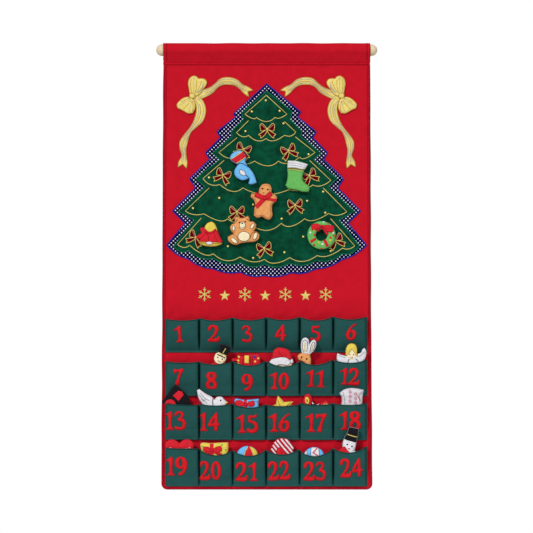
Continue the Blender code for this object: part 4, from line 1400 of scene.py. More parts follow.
    def garland_lines(self) -> list[Loop]:
        """Draw the embroidered garlands, their scallops as curves through three points.

        Returns:
            The line of each tier.
        """
        lines = []
        for tier in GARLANDS_PX:
            line: Loop = list(tier[:2])
            for k in range(1, len(tier) - 3, 2):
                a, low, b = (np.array(tier[k + j]) for j in range(3))
                bend = 2 * low - (a + b) / 2
                for j in range(1, 13):
                    t = j / 12
                    at = (1 - t) ** 2 * a + 2 * t * (1 - t) * bend + t**2 * b
                    line.append((float(at[0]), float(at[1])))
            lines.append(traced([*line, tier[-1]]))
        return lines


# Each tier: top of its left side, left end, then lowest points and cusps in turn, right end, top
GARLANDS_PX: list[list[Point]] = [
    [(266.3, 95.3), (244.9, 114.2), (252.6, 118.5), (256.6, 117.5), (266.3, 121.6), (275, 117.5),
        (280, 118), (287, 114.2), (266.3, 95.3)],
    [(248.5, 120.6), (236.5, 132.6), (242.5, 136.7), (248.5, 135.4), (257.7, 140.9), (266, 138.5),
        (273.7, 140.8), (284.5, 135.3), (291, 136), (295.7, 132), (284.5, 121.5)],
    [(237.2, 137.6), (218.9, 152.4), (225.5, 157.2), (231, 158), (243, 164), (254.6, 161.1),
        (267.9, 165.9), (278.5, 161.1), (288, 163.4), (299.8, 157.2), (304.9, 158.5),
        (315.1, 152.4), (295.2, 136.8)],
    [(224.2, 160.3), (203, 178.6), (210.6, 184.7), (219.8, 184.5), (232.6, 191.4), (242.8, 187.8),
        (265, 194.5), (289, 189.6), (301, 190.2), (312.7, 185), (321.3, 185.8), (330.8, 180.4),
        (309.6, 160.5)],
    [(209.3, 187.8), (185.4, 211), (194, 214.6), (204, 213.8), (218.8, 220.7), (227.4, 218.9),
        (240, 224.5), (250, 224), (266.5, 230.4), (281.3, 223.2), (291, 226.3), (304.7, 218.7),
        (314.3, 220.4), (328.5, 213.5), (337.4, 215.3), (346.9, 211.8), (323.2, 187.9)],
    [(201.4, 217.9), (177.5, 244.5), (184, 247.5), (189.5, 245.2), (203.5, 254.4), (213.3, 253.7),
        (226.6, 260.7), (240, 256.9), (252.6, 261.8), (264.5, 259.3), (275.1, 263.2),
        (289.8, 257.6), (303.1, 261.4), (317.2, 255.5), (328.4, 255.8), (342.4, 248.1),
        (348.5, 249), (354.8, 245.9), (330.5, 218.6)],
]
BEADS_PX: list[Point] = [
    (265.8, 100.4), (251.8, 111.6), (279.6, 110.9), (235.4, 157.8), (283.4, 123.4), (308.5, 154.4),
    (209.1, 177.6),
    (219.3, 198), (193, 208.2), (253.2, 204.6), (323.1, 191.7), (307.1, 200.9), (325.2, 212.8),
    (281.6, 218.7),
    (228, 246.2), (253.2, 258), (303.3, 236.7), (284.4, 252.3), (330.6, 251), (245.5, 131.3),
    (211.7, 225),
    (266.4, 187.4), (241, 220.6), (321, 225.3), (296.6, 164.2)]
TREE = Tree()


# --- Ribbons, bows and motifs -----------------------------------------------------------------


def ribbon_sides(spine: Sequence[tuple[float, float, float]],
                 share: float = 1.0) -> tuple[Loop, Loop]:
    """Draw the two edges of a ribbon.

    Args:
        spine: Its middle line and full width at each point, (x, y, width) in pixels.
        share: How far out the lines are, 1 at the edges.

    Returns:
        The two lines, in pixels.
    """
    at = np.array(spine, float)
    steps = np.gradient(at[:, :2], axis=0)
    normals = np.stack([-steps[:, 1], steps[:, 0]], 1)
    normals /= np.linalg.norm(normals, axis=1)[:, None]
    reach = normals * at[:, 2:3] / 2 * share
    return [tuple(p) for p in at[:, :2] + reach], [tuple(p) for p in at[:, :2] - reach]


def strip_of(line: Sequence[Point], width: float) -> Loop:
    """Return the outline of a strip of one width along a line."""
    left, right = ribbon_sides([(x, y, width) for x, y in line])
    return [*left, *reversed(right)]


@dataclass
class Ribbons:
    """The two satin ribbons at the top corners, tied in a bow, with swallowtails.

    Lines, outlines and widths are in pixels, as the left ribbon shows them. The streamers `across`
    and `down` are middle lines with widths, `lines` are creases and `bands` shadowed folds.
    """

    upper_loop: tuple[Point, ...] = (
        (190.5, 97), (189.2, 89.5), (188.3, 83), (189.8, 78.4), (193.6, 76), (196.7, 76.9),
        (198.4, 78.8),
        (201.4, 78.6), (204.9, 79.5), (206.7, 82.2), (205.8, 85.4), (203.2, 88.8), (198.4, 95))
    lower_loop: tuple[Point, ...] = (
        (191.6, 98), (194.6, 102), (194.9, 108.4), (192.6, 112.8), (188.3, 113.2), (183, 110.4),
        (177.8, 108),
        (177, 104.6), (179.6, 101), (185.4, 97.4))
    across: tuple[tuple[float, float, float], ...] = (
        (194, 97, 4), (199, 95.6, 7), (205.2, 93, 7.2), (211.2, 90.1, 6), (216.6, 85.4, 4.5),
        (221.9, 81.7, 6.5), (229.3, 81, 7), (236, 82.7, 6), (241, 86.6, 5), (246.4, 90.4, 7.6))
    down: tuple[tuple[float, float, float], ...] = (
        (193, 96, 4), (196.6, 98.8, 6.6), (199.8, 103.6, 8), (201.1, 110.2, 9.3),
        (199.1, 118.8, 8.6),
        (194, 126, 5), (189.8, 130.8, 3.4), (186.2, 136.6, 5.4), (183.6, 142.6, 7.4),
        (183, 148.6, 6),
        (184, 155.6, 4.2), (183, 162.4, 8.4))
    tail: float = 5.2
    notch: float = 2.4
    width: float = 0.0150
    lines: tuple[tuple[Point, ...], ...] = (
        ((191, 79), (190.6, 86), (191.8, 93.6)), ((196.6, 79.8), (196.6, 86.6), (194.6, 93.4)),
        ((201.6, 80.8), (200, 86), (195.6, 93)), ((181.4, 102.2), (186.6, 99.4), (190, 97.8)),
        ((183.6, 109), (188, 104), (191, 99.8)), ((192.8, 111.4), (193, 106), (192.2, 101)))
    bands: tuple[tuple[Point, ...], ...] = (
        ((194, 77.8), (194, 85), (193.4, 93)), ((204, 81.8), (201.8, 87.4), (197, 93)),
        ((179, 105.6), (184.4, 102.6), (190.2, 99)), ((189, 111.6), (190.6, 106), (191.8, 101)))
    knot: tuple[Point, ...] = (
        (189.6, 94.2), (192.2, 93.2), (194.6, 94.4), (194.8, 97.0), (192.2, 98.2), (189.8, 97.2))
    crease_width: float = 1.7
    fold_width: float = 2.2
    edge: float = 0.0008

    def strip(self, spine: Sequence[tuple[float, float, float]]) -> Loop:
        """Draw a streamer with a swallowtail.

        Args:
            spine: Its middle line and full width at each point, in pixels.

        Returns:
            Its outline, in pixels.
        """
        left, right = ribbon_sides(spine)
        end, before = np.array(spine[-1][:2]), np.array(spine[-2][:2])
        ahead = (end - before) / np.linalg.norm(end - before)
        tips = [tuple(np.array(side[-1]) + ahead * self.tail) for side in (left, right)]
        middle = end + ahead * (self.tail - self.notch - 1.2)
        return [*left, tips[0], tuple(middle), tips[1], *reversed(right)]

    def build(self, side: int, name: str) -> None:
        """Make one ribbon.

        Args:
            side: 1 for the left ribbon, -1 for its mirror image on the right.
            name: Name of the CAD node.
        """

        def placed(points_px: Sequence[Point], step: float, **options: float | bool) -> Loop:
            return flowing([(x * side, z) for x, z in traced(points_px)], step, **options)

        def under(x: np.ndarray, z: np.ndarray) -> np.ndarray:
            return BANNER.panel(x, z) - 0.0003 - 0.0004 * (1 + ripple(x, z, 0.03, 70 + side))

        def on_top(x: np.ndarray, z: np.ndarray) -> np.ndarray:
            return under(x, z) - 0.0012

        def woven(line: Sequence[Point], width: float, face: Under, lift: float) -> None:
            loop = placed(strip_of(line, width), 0.0016, sharp=40)
            piece.add(slab([loop], 0.0018, lambda x, z: face(x, z) - lift, 0.0005, 0.0006,
                           sink=0.0002), RIBBON_FOLD)

        piece = Piece(name + "_satin")
        edges, area = [], 0.0
        for spine in (self.across, self.down):
            outline = placed(self.strip(spine), 0.0024)
            area += area_of(outline)
            piece.add(slab([outline], 0.0024, under, 0.0013, 0.0022), RIBBON_YELLOW)
            edges.append(round_edge(outline, under, 0.0007))
            for edge in ribbon_sides(spine, 0.5):
                woven(edge[1:], self.crease_width, under, 0.0010)
            middle = placed(ribbon_sides(spine, 0.08)[0][2:], 0.002, closed=False)
            edges.append(laid(middle, under, 0.0011))
        for loop in (self.upper_loop, self.lower_loop):
            outline = placed(loop, 0.0022)
            area += 2 * area_of(outline)
            piece.add(slab([outline], 0.0022, on_top, 0.0030, 0.0060), RIBBON_YELLOW)
            edges.append(round_edge(outline, on_top, 0.0010))
        edges += [laid(placed(line, 0.002, closed=False), on_top, 0.0026) for line in self.lines]
        # The grey strips on the loops are painted shade of their folds.
        for line in self.bands:
            woven(line, self.fold_width, on_top, 0.0026)
        knot = placed(self.knot, 0.0016)
        piece.add(slab([knot], 0.0018, lambda x, z: on_top(x, z) - 0.0022, 0.0014, 0.0040,
                       sink=0.0018), RIBBON_YELLOW)
        edges.append(round_edge(knot, on_top, 0.0028))
        piece.add(cords(edges, self.edge), RIBBON_EDGE)
        obj = piece.done("banner", name)


@dataclass
class Bows:
    """Ten padded bows on the tree, edged with gold thread.

    Outlines are in pixels, with +y up, round the middle of the knot, before the share. A place is
    the middle, and how far the bow turns against the clock, in degrees.
    """

    share: float = 0.94
    loop: tuple[Point, ...] = (
        (0.7, 0.5), (2.6, 3.0), (4.5, 5.1), (6.1, 6.0), (7.6, 4.3), (7.6, 1.2), (6.9, -1.9),
        (5.1, -2.2), (3.1, -1.5), (0.7, -0.6))
    tail: tuple[Point, ...] = (
        (0.4, -0.6), (3.0, -2.0), (6.0, -4.0), (9.3, -6.0), (7.0, -7.4), (6.9, -10.0),
        (4.6, -8.2), (2.0, -5.4), (0.2, -2.0))
    fold: tuple[Point, ...] = ((1.4, 0.4), (4.2, 2.6), (6.4, 4.6))
    knot: tuple[Point, ...] = (
        (-1.1, 0.8), (0, 1.3), (1.1, 0.8), (1.2, -0.8), (0, -1.3), (-1.2, -0.8))
    places_px: tuple[tuple[float, float, float], ...] = (
        (267.3, 129.0, 0), (243.5, 149.2, -20), (288.5, 150.4, 20), (223.2, 174.8, -20),
        (309.3, 175.4, 25), (237.0, 211.6, 0), (295.1, 204.9, 5), (196.0, 237.2, -25),
        (264.2, 248.0, 10), (335.5, 240.0, 20))
    edge: float = 0.0007
    crease: float = 0.0004

    def build(self, number: int) -> None:
        """Make one bow.

        Args:
            number: Which one, from 0.
        """
        x_px, y_px, turn_by = self.places_px[number]
        scale = PIXEL * self.share

        def placed(points: Sequence[Point], side: int) -> Loop:
            flat = [(x * side * scale, y * scale) for x, y in points]
            return turned(flat, spot(x_px, y_px), turn_by)

        def raised(lift: float) -> Under:
            return lambda x, z: TREE.face(x, z) - lift

        piece = Piece(f"padded_bow_{number + 1}")
        edges, creases = [], []
        for side in (-1, 1):
            for points, lift, puff in ((self.tail, 0.0002, 0.0012), (self.loop, 0.0006, 0.0021)):
                outline = flowing(placed(points, side), 0.0014)
                piece.add(slab([outline], 0.0015, raised(lift), puff, 0.0035), BURGUNDY)
                edges.append(round_edge(outline, TREE.face, lift + 0.0008))
            # A pale pink thread along each loop's fold is a painted highlight.
            crease = flowing(placed(self.fold, side), 0.0015, closed=False)
            creases.append(laid(crease, TREE.face, 0.0026))
        knot = flowing(placed(self.knot, 1), 0.0012)
        piece.add(slab([knot], 0.0012, raised(0.0018), 0.0018, 0.0020, sink=0.0014), GOLD_THREAD)
        piece.add(cords(edges, self.edge), GOLD_THREAD)
        piece.add(cords(creases, self.crease), PALE_PINK)
        piece.done("banner", f"bow_{number + 1}")


@dataclass
class Motifs:
    """A row of embroidered stars and snow crystals between the tree and the pockets.

    A crystal and a star stand below the middle line by `drops_px`. The barbs start at a share of
    a crystal's arm, and a star's waist is a share of its points' radius.
    """

    centre_px: Point = (265.2, 295.0)
    pitch_px: float = 20.2
    count: int = 7
    drops_px: tuple[float, float] = (-0.6, 0.8)
    crystal_px: float = 7.0
    barb_px: float = 2.3
    barb_at: float = 0.52
    star_px: float = 5.6
    star_waist: float = 0.42

    def build(self) -> None:
        """Stitch the row."""
        piece = Piece("stitched_motifs")
        arms, barbs = [], []
        for k in range(self.count):
            x = self.centre_px[0] + (k - (self.count - 1) / 2) * self.pitch_px
            y = self.centre_px[1] + self.drops_px[k % 2]
            if k % 2:
                star = []
                for j in range(10):
                    reach = self.star_px * (self.star_waist if j % 2 else 1.0)
                    a = math.pi / 2 + math.pi * j / 5
                    star.append((x + reach * math.cos(a), y - reach * math.sin(a)))
                outline = flowing(traced(star), 0.0012, sharp=10)
                piece.add(slab([outline], 0.0013, BANNER.panel, 0.0013, 0.0022), GOLD_THREAD)
                continue
            for j in range(6):
                a = math.pi / 2 + math.pi * j / 3
                out = (math.cos(a) * self.crystal_px, -math.sin(a) * self.crystal_px)
                arms.append(traced([(x, y), (x + out[0], y + out[1])]))
                root = (x + out[0] * self.barb_at, y + out[1] * self.barb_at)
                for b in (a - math.pi / 4, a + math.pi / 4):
                    tip = (root[0] + math.cos(b) * self.barb_px,
                           root[1] - math.sin(b) * self.barb_px)
                    barbs.append(traced([root, tip]))
        arms = [flowing(line, 0.002, closed=False) for line in arms]
        for lines, lift, radius in ((arms, 0.0005, 0.0011), (barbs, 0.0004, 0.0008)):
            stitches = [laid(line, BANNER.panel, lift) for line in lines]
            piece.add(cords(stitches, radius), GOLD_THREAD)
        piece.done("banner")


# --- Stuffed ornaments ------------------------------------------------------------------------


@dataclass(frozen=True)
class Patch:
    """A piece of felt sewn to an ornament, its outline in pixels.

    Attributes:
        outline: The outline.
        finish: Its finish.
        edge: Finish of the stitches round it, or None.
        over: Whether it lies over the ornament and may pass its edge.
        puff: How thick it is.
        both: Whether the back of the ornament has one too.
        sharp: Corners sharper than this stay corners.
    """

    outline: Sequence[Point]
    finish: Finish
    edge: Finish | None = None
    over: bool = False
    puff: float = 0.0008
    both: bool = False
    sharp: float = 50.0


@dataclass(frozen=True)
class Stitches:
    """A line of thread on an ornament, in pixels, that lies in front of the felt by its lift."""

    line: Sequence[Point]
    finish: Finish
    radius: float = THREAD
    lift: float = 0.0009
    straight: bool = False


def disc(centre: Point, radii: Point, finish: Finish, edge: Finish | None = None,
         tilt: float = 0.0, puff: float = 0.0008) -> Patch:
    """Return an oval patch; its tilt is in degrees with the clock, as seen."""
    return Patch(ellipse(centre, radii, tilt, 16), finish, edge, puff=puff)


def dots(centres: Sequence[Point], radii: Point, finish: Finish,
         puff: float = 0.0008) -> tuple[Patch, ...]:
    """Return small oval patches of one size."""
    return tuple(disc(at, radii, finish, puff=puff) for at in centres)


def band(line: Sequence[Point], width: float, finish: Finish, edge: Finish | None = None,
         over: bool = True, puff: float = 0.0012) -> Patch:
    """Return a strip of felt along a line."""
    return Patch(strip_of(line, width), finish, edge, over, puff)


@dataclass
class Ornament:
    """A stuffed felt figure that hangs on the tree or stands in a pocket.

    Attributes:
        name: The CAD node and body.
        finish: Its main felt.
        details: What is sewn to it, from the bottom up.
        row: The pocket row it stands in, or None on the tree.
        lip: Where across the sagging lip it rests, as a share of the half width.
        trims: CAD nodes of its trims.
        seam: Finish of the seam round it.
        thickness: How thick it is stuffed.
        reach: How far in from the seam the stuffing is full.
        seat_depth: From the row's mouths down to its foot.
        stand_off: How far a bead holds it off the velvet.
        ring: Centre in pixels and radii of a round ornament with a hole, or None.
    """

    name: str
    finish: Finish
    details: tuple[Patch | Stitches, ...] = ()
    row: int | None = None
    lip: float = 0.8
    trims: tuple[str, ...] = ()
    seam: Finish | None = None
    thickness: float = 0.0110
    reach: float = 0.0075
    step: float = 0.0012
    edge: float = 0.00045
    seat_depth: float = 0.0420
    foot_y: float = -0.0081
    stand_off: float = 0.0035
    ring: tuple[Point, tuple[float, float]] | None = None
    loops: list[Loop] = field(default_factory=list)

    def stand(self) -> Matrix:
        """Return the place of the ornament's own plane in the frame."""
        if self.row is None:
            middle = TREE_FACE - self.stand_off - CROWN_GAP - self.thickness / 2
            return Matrix.Translation((0, middle, 0))
        foot = Matrix.Translation((0, self.foot_y, self.foot()))
        return foot @ Matrix.Rotation(self.lean(), 4, "X")

    def foot(self) -> float:
        """Return the height of its foot in the pocket."""
        return ROWS.mouth(self.row) - self.seat_depth

    def lean(self) -> float:
        """Return how far it leans forward, from the seat to the lip."""
        lever = self.seat_depth - ROWS.sags[self.row] * (1 - self.lip * 0.8)
        reach = CROWN_GAP + ROWS.cad_bulge - 2 * CROWN_GAP - self.thickness / 2
        return math.atan2(reach, lever) - math.asin(self.thickness / 2 / math.hypot(reach, lever))

    def flat(self, points_px: Sequence[Point]) -> Loop:
        """Return points, drawn as seen from the front, in the ornament's own plane."""
        line = traced(points_px)
        if self.row is None:
            return line
        return [(x, (z - self.foot()) / math.cos(self.lean())) for x, z in line]

    def rims(self) -> list[Loop]:
        """Read the seam off the CAD solid.

        Returns:
            Its closed lines.
        """
        if self.ring:
            centre_px, radii = self.ring
            return [ellipse(spot(*centre_px), (r, r), sides=round(math.tau * r / self.step))
                    for r in radii]
        bm = bmesh.new()
        bm.from_mesh(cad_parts[self.name].data)
        bmesh.ops.remove_doubles(bm, verts=bm.verts[:], dist=MERGE)
        bm.transform(self.stand().inverted())
        left = [e for e in bm.edges if all(abs(v.co.y) < 2e-5 for v in e.verts)]
        rims = []
        while left:
            edge = left.pop(0)
            first, at = edge.verts
            line = [(first.co.x, first.co.z)]
            while at is not first:
                line.append((at.co.x, at.co.z))
                edge = next(e for e in at.link_edges if e in left)
                left.remove(edge)
                at = edge.other_vert(at)
            rims.append(flowing(line, self.step))
        bm.free()
        return rims

    def height(self, x: np.ndarray, z: np.ndarray) -> np.ndarray:
        """Find how far the stuffed face stands in front of the middle.

        Args:
            x: Places across, in its own plane.
            z: Their heights.

        Returns:
            The distance at each place, 0 outside the seams.
        """
        depth = away(x, z, self.loops)
        within = np.zeros(len(x), bool)
        for loop in self.loops:
            within ^= inside(x, z, loop)
        soft = 1 + 0.05 * ripple(x, z, 0.014, len(self.name))
        return np.where(within, self.thickness / 2 * dome(depth, self.reach) * soft, 0.0)

    def body(self) -> bmesh.types.BMesh:
        """Fill the seams on both sides.

        Returns:
            The closed pillow.
        """
        bm = patch(self.loops, self.step)
        rim = [v.index for v in bm.verts if v.is_boundary]
        at = places(bm)
        at[:, 1] = -self.height(at[:, 0], at[:, 2])
        at[rim, 1] = 0.0
        move_to(bm, at)
        copied = bmesh.ops.duplicate(bm, geom=bm.verts[:] + bm.edges[:] + bm.faces[:])
        back = [g for g in copied["geom"] if isinstance(g, bmesh.types.BMVert)]
        bmesh.ops.scale(bm, vec=(1, -1, 1), verts=back)
        bmesh.ops.remove_doubles(bm, verts=bm.verts[:], dist=MERGE)
        return outward(bm)

    def ground(self, over: bool) -> Under:
        """Return the y of the face that details lie on, held forward where they pass the edge."""

        def under(x: np.ndarray, z: np.ndarray) -> np.ndarray:
            rise = self.height(x, z)
            return -np.maximum(rise, self.thickness / 2 * 0.62) if over else -rise

        return under

    def outer(self) -> Loop:
        """Return the widest of the ornament's seams."""
        return max(self.loops, key=lambda rim: np.ptp(np.array(rim)[:, 0]))

    def pulled_in(self, loop: Loop) -> Loop:
        """Move the points of a patch that pass the ornament's seam back onto it.

        Args:
            loop: The patch's outline.

        Returns:
            The outline within the seam, without points that fell together.
        """
        at, rim = np.array(loop), np.array(self.outer())
        for k in np.flatnonzero(~inside(at[:, 0], at[:, 1], self.outer())):
            at[k] = rim[((rim - at[k]) ** 2).sum(1).argmin()]
        kept = [at[0]]
        for p in at[1:]:
            if np.linalg.norm(p - kept[-1]) > 0.0003:
                kept.append(p)
        if np.linalg.norm(kept[0] - kept[-1]) < 0.0003:
            kept.pop()
        return [(float(x), float(z)) for x, z in kept]

    def sew(self, piece: Piece, detail: Patch, place: Matrix) -> None:
        """Sew one patch to the piece.

        Args:
            piece: The piece.
            detail: The patch.
            place: The place of the ornament's own plane.
        """
        loop = flowing(self.flat(detail.outline), self.step, sharp=detail.sharp)
        if not detail.over:
            loop = self.pulled_in(loop)
        under = self.ground(detail.over)
        piece.add(slab([loop], self.step, under, detail.puff, 0.0012), detail.finish, place)
        if detail.both:
            behind = slab([loop], self.step, under, detail.puff, 0.0012)
            behind.transform(Matrix.Diagonal((1, -1, 1, 1)))
            bmesh.ops.reverse_faces(behind, faces=behind.faces[:])
            piece.add(behind, detail.finish, place)
        if detail.edge:
            edge = round_edge(loop, under, detail.puff * 0.6)
            piece.add(cords([edge], self.edge), detail.edge, place)

    def stitch(self, piece: Piece, detail: Stitches, place: Matrix) -> None:
        """Stitch one line to the piece, as far as it lies within the seam.

        Args:
            piece: The piece.
            detail: The line.
            place: The place of the ornament's own plane.
        """
        sharp = 5.0 if detail.straight else 60.0
        line = flowing(self.flat(detail.line), self.step, closed=False, sharp=sharp)
        held = inside(*np.array(line).T, self.outer())
        line = [point for point, kept in zip(line, held) if kept]
        if len(line) > 1:
            thread = cords([laid(line, self.ground(False), detail.lift)], detail.radius)
            piece.add(thread, detail.finish, place)

    def build(self) -> None:
        """Make the ornament with everything sewn to it."""
        self.loops = self.rims()
        place = self.stand()
        x, z = self.loops[0][0]
        depth = BANNER.sway(np.array([x]), np.array([(place @ Vector((0, 0, z))).z]))[0]
        place = Matrix.Translation((0, -float(depth), 0)) @ place
        piece = Piece(self.name + "_felt")
        piece.add(self.body(), self.finish, place)
        seams = [[(x, 0.0, z) for x, z in loop + loop[:1]] for loop in self.loops]
        piece.add(cords(seams, THREAD), self.seam or self.finish, place)
        for detail in self.details:
            sew = self.sew if isinstance(detail, Patch) else self.stitch
            sew(piece, detail, place)
        piece.done(self.name, self.name, *self.trims)


def bow_tie(centre: Point, left: Point, right: Point, finish: Finish) -> tuple[Patch, ...]:
    """Draw a small flat bow.

    Args:
        centre: Middle of its knot, in pixels.
        left: End of its left loop.
        right: End of its right loop.
        finish: Its finish.

    Returns:
        The two loops and the knot.
    """
    parts = []
    for end in (left, right):
        c = np.array(centre)
        leg = np.array(end) - c
        size = np.linalg.norm(leg)
        side = np.array([-leg[1], leg[0]]) / size
        loop = [c, c + leg * 0.45 + side * size * 0.30, c + leg * 0.95 + side * size * 0.26,
                c + leg, c + leg * 0.95 - side * size * 0.26, c + leg * 0.45 - side * size * 0.24]
        parts.append(Patch([tuple(p) for p in loop], finish, DARK_RED_LINE, over=True,
                           puff=0.0018))
    return *parts, disc(centre, (1.3, 1.3), finish, DARK_RED_LINE, puff=0.0030)


def tree_ornaments() -> list[Ornament]:
    """Make the ornaments that hang on the tree.

    Returns:
        All six, from the top down.
    """
    horn = Ornament("horn", SKY_FELT, (
        Patch([(231, 159.9), (242.9, 151.6), (246.3, 157), (236.4, 163.8)], RED_FELT, puff=0.0010),
        Stitches([(230.8, 159.7), (236.4, 156.2), (242.9, 151.6)], GOLD_THREAD, 0.0007),
        Stitches([(236.2, 163.6), (241.2, 160.6), (246.3, 157)], GOLD_THREAD, 0.0007),
        Stitches([(236.4, 164.9), (241.1, 163.4), (245.2, 165.2), (248.2, 167.2)], NAVY_LINE,
            0.0006),
        Stitches([(246.1, 175.1), (248.1, 177.4), (249.3, 180.3)], NAVY_LINE, 0.0006),
        disc((242.6, 173), (3.8, 2.2), WHITE_FELT, DARK_LINE, tilt=40),
        Stitches([(234.2, 155.4), (238.6, 153.2), (241.6, 153.4)], WHITE_LINE, 0.0004),
    ), trims=("horn_band",), seam=NAVY_LINE)
    stocking = Ornament("stocking", LEAF_FELT, (
        Patch([(287.4, 160.3), (293, 160.6), (303, 163), (308.4, 164.2), (306.3, 168),
            (303.5, 169.4), (294, 167.9), (287.2, 167.9)], WHITE_FELT, puff=0.0014, both=True),
        Stitches([(288.4, 163), (296, 163.6), (306.2, 166.2)], GREY_LINE, 0.0004, 0.0016),
        Stitches([(288.4, 165.4), (296, 165.8), (304.8, 168)], GREY_LINE, 0.0004, 0.0016),
        Stitches([(287.6, 168.7), (294, 168.7), (304.4, 170)], BROWN_LINE, 0.0007),
        Stitches([(287.6, 170.1), (294, 170.1), (303.6, 171.4)], GOLD_THREAD, 0.0006),
        Stitches([(291.6, 189.5), (296.2, 190.3), (301.2, 191.6)], DARK_LINE, 0.0005),
    ), trims=("stocking_cuff",), seam=GREEN_LINE)
    ginger = Ornament("gingerbread_man", TAN_FELT, (
        Stitches([(265.8, 185.4), (269.2, 186.4), (269.9, 189), (269.6, 193.4), (274.4, 196.8),
            (275.2, 199), (273.4, 201.2), (271, 203.8), (270.3, 210.2), (270.6, 215), (268.6, 218),
            (266.2, 217.6), (262.2, 215), (257.8, 216), (255.6, 214.6), (256.1, 209),
            (256.8, 203.7), (255.4, 199.6), (252.4, 196.7), (253.2, 195), (259.8, 195.4),
            (261, 189.4), (262.8, 186.2), (265.8, 185.4)], BROWN_LINE, 0.0002),
        *dots([(262.6, 188.9), (267.8, 189.6)], (0.9, 0.9), BLACK_FELT),
        disc((263.6, 193.2), (1.2, 0.5), DARK_RED_FELT, tilt=10),
        band([(264.2, 199), (260, 203.4), (256, 207.4)], 4.6, RED_FELT),
        band([(265.6, 198.8), (270.8, 199.6), (276.2, 200.8)], 3, RED_FELT),
        band([(264.8, 198.4), (260.2, 196.6), (255.2, 194.6)], 4.4, RED_FELT, DARK_RED_LINE,
            puff=0.0018),
        band([(265, 198.4), (268.2, 196), (271.1, 193.4)], 4.4, RED_FELT, DARK_RED_LINE,
            puff=0.0018),
        disc((264.6, 198.4), (2, 1.6), RED_FELT, DARK_RED_LINE, puff=0.0030),
    ), trims=("gingerbread_bow",), seam=BROWN_LINE)
    bear = Ornament("teddy_bear", TAN_FELT, (
        disc((242.4, 225.6), (3, 3.8), CREAM_FELT, DARK_LINE),
        disc((242.3, 223.4), (1, 0.9), BLACK_FELT, puff=0.0016),
        Stitches([(240.6, 226.8), (242.4, 228.2), (244.2, 226.8)], RUST_LINE, 0.0004, 0.0014),
        *dots([(239.4, 222.5), (245.4, 221.9)], (0.7, 0.8), BLACK_FELT),
        Stitches([(236, 222.1), (236.4, 220.4), (237.8, 219.5)], BROWN_LINE),
        Stitches([(245.9, 219.2), (247.6, 219.2), (248.6, 220.4)], BROWN_LINE),
        disc((244, 236.5), (5.9, 4.9), CREAM_FELT, DARK_LINE),
        disc((233.7, 228.4), (1.4, 2.7), CREAM_FELT, DARK_LINE),
        disc((252.4, 226), (1.5, 3.1), CREAM_FELT, DARK_LINE, tilt=30),
        disc((234.2, 240.6), (1.8, 3.9), CREAM_FELT, DARK_LINE, tilt=-50),
        disc((255.2, 236.2), (1.8, 3.6), CREAM_FELT, DARK_LINE, tilt=20),
        Stitches([(228.8, 236.8), (231.5, 234.9), (235, 235.3), (237.6, 238.2), (238.4, 242.2)],
            DARK_LINE, 0.0004),
        Stitches([(250.2, 238.9), (250.8, 235.4), (252.6, 232.9), (255.6, 232.2)], DARK_LINE,
            0.0004),
    ), seam=BROWN_LINE)
    reds = [(314.6, 234.9), (313.8, 245.1), (321.3, 248.6), (330.3, 237.5), (333.8, 235.8),
        (327.7, 222.4)]
    whites = [(310.3, 232.6), (323.6, 221.8), (333.2, 232.9), (322.5, 244.2), (330.6, 225.6)]
    yellows = [(313.8, 230.3), (318.7, 242.5), (330.3, 240.5)]
    wreath = Ornament("wreath", LEAF_FELT, (
        *dots(reds, (1.1, 1.1), RED_FELT, 0.0014),
        *dots(whites, (1.1, 1.1), WHITE_FELT, 0.0014),
        *dots(yellows, (1.1, 1.1), YELLOW_FELT, 0.0014),
        Patch([(315.2, 237.5), (316.4, 239.6), (311.1, 243.4), (309.7, 240.7)], RED_FELT,
            puff=0.0012),
        Patch([(322.8, 240.2), (325.7, 239.3), (328.9, 245.7), (326.3, 247.1)], RED_FELT,
            puff=0.0012),
        band([(322.6, 226.6), (327.4, 229.6), (331.6, 231.4)], 3, RED_FELT, DARK_RED_LINE),
        band([(322, 226.6), (325.4, 231.2), (327.4, 234.4)], 2.6, RED_FELT, DARK_RED_LINE),
        band([(320.8, 226.6), (318.6, 229), (317.4, 231)], 2.4, RED_FELT, DARK_RED_LINE),
        *bow_tie((322, 226.2), (311.2, 227.6), (333.6, 229.4), RED_FELT),
    ), trims=("wreath_bow",), seam=GREEN_LINE, thickness=0.0090, reach=0.0088,
        ring=((321.4, 235.2), (0.03025, 0.0125)))
    bell = Ornament("bell", YELLOW_FELT, (
        Patch([(203, 231), (207, 232.2), (210, 232.8), (215, 230.2), (218, 231), (220.6, 236.5),
            (222.8, 240), (222, 242.3), (208, 241.8), (198.9, 241.5), (199.5, 238.5), (201, 236.6),
            (202, 234)], RED_FELT, DARK_RED_LINE),
        Patch([(200.3, 228.3), (202.3, 227.3), (205.4, 229.5), (206, 232.5), (201, 238.8),
            (196.5, 238.6), (197, 236), (201.6, 233.4)], RED_FELT, DARK_RED_LINE, over=True,
            puff=0.0014),
        Stitches([(206.4, 232.6), (208.6, 236.6), (208.8, 241.2)], DARK_RED_LINE),
        Stitches([(213.6, 231.2), (214.8, 235.8), (217.4, 240.8)], DARK_RED_LINE),
        Stitches([(200.2, 242.6), (208, 243.2), (215, 243.4), (222, 242.8)], BROWN_LINE),
        disc((209.4, 243.2), (3.6, 1.6), WHITE_FELT, BROWN_LINE, puff=0.0014),
        Patch([(204.4, 230.4), (208.4, 233.4), (212, 233.2), (216.4, 230.2), (215.6, 228.8),
            (211.8, 231.6), (208.6, 231.8), (205.2, 228.8)], RED_FELT, DARK_RED_LINE, puff=0.0016),
    ), trims=("bell_bow",), seam=BROWN_LINE)
    return [horn, stocking, ginger, bear, wreath, bell]


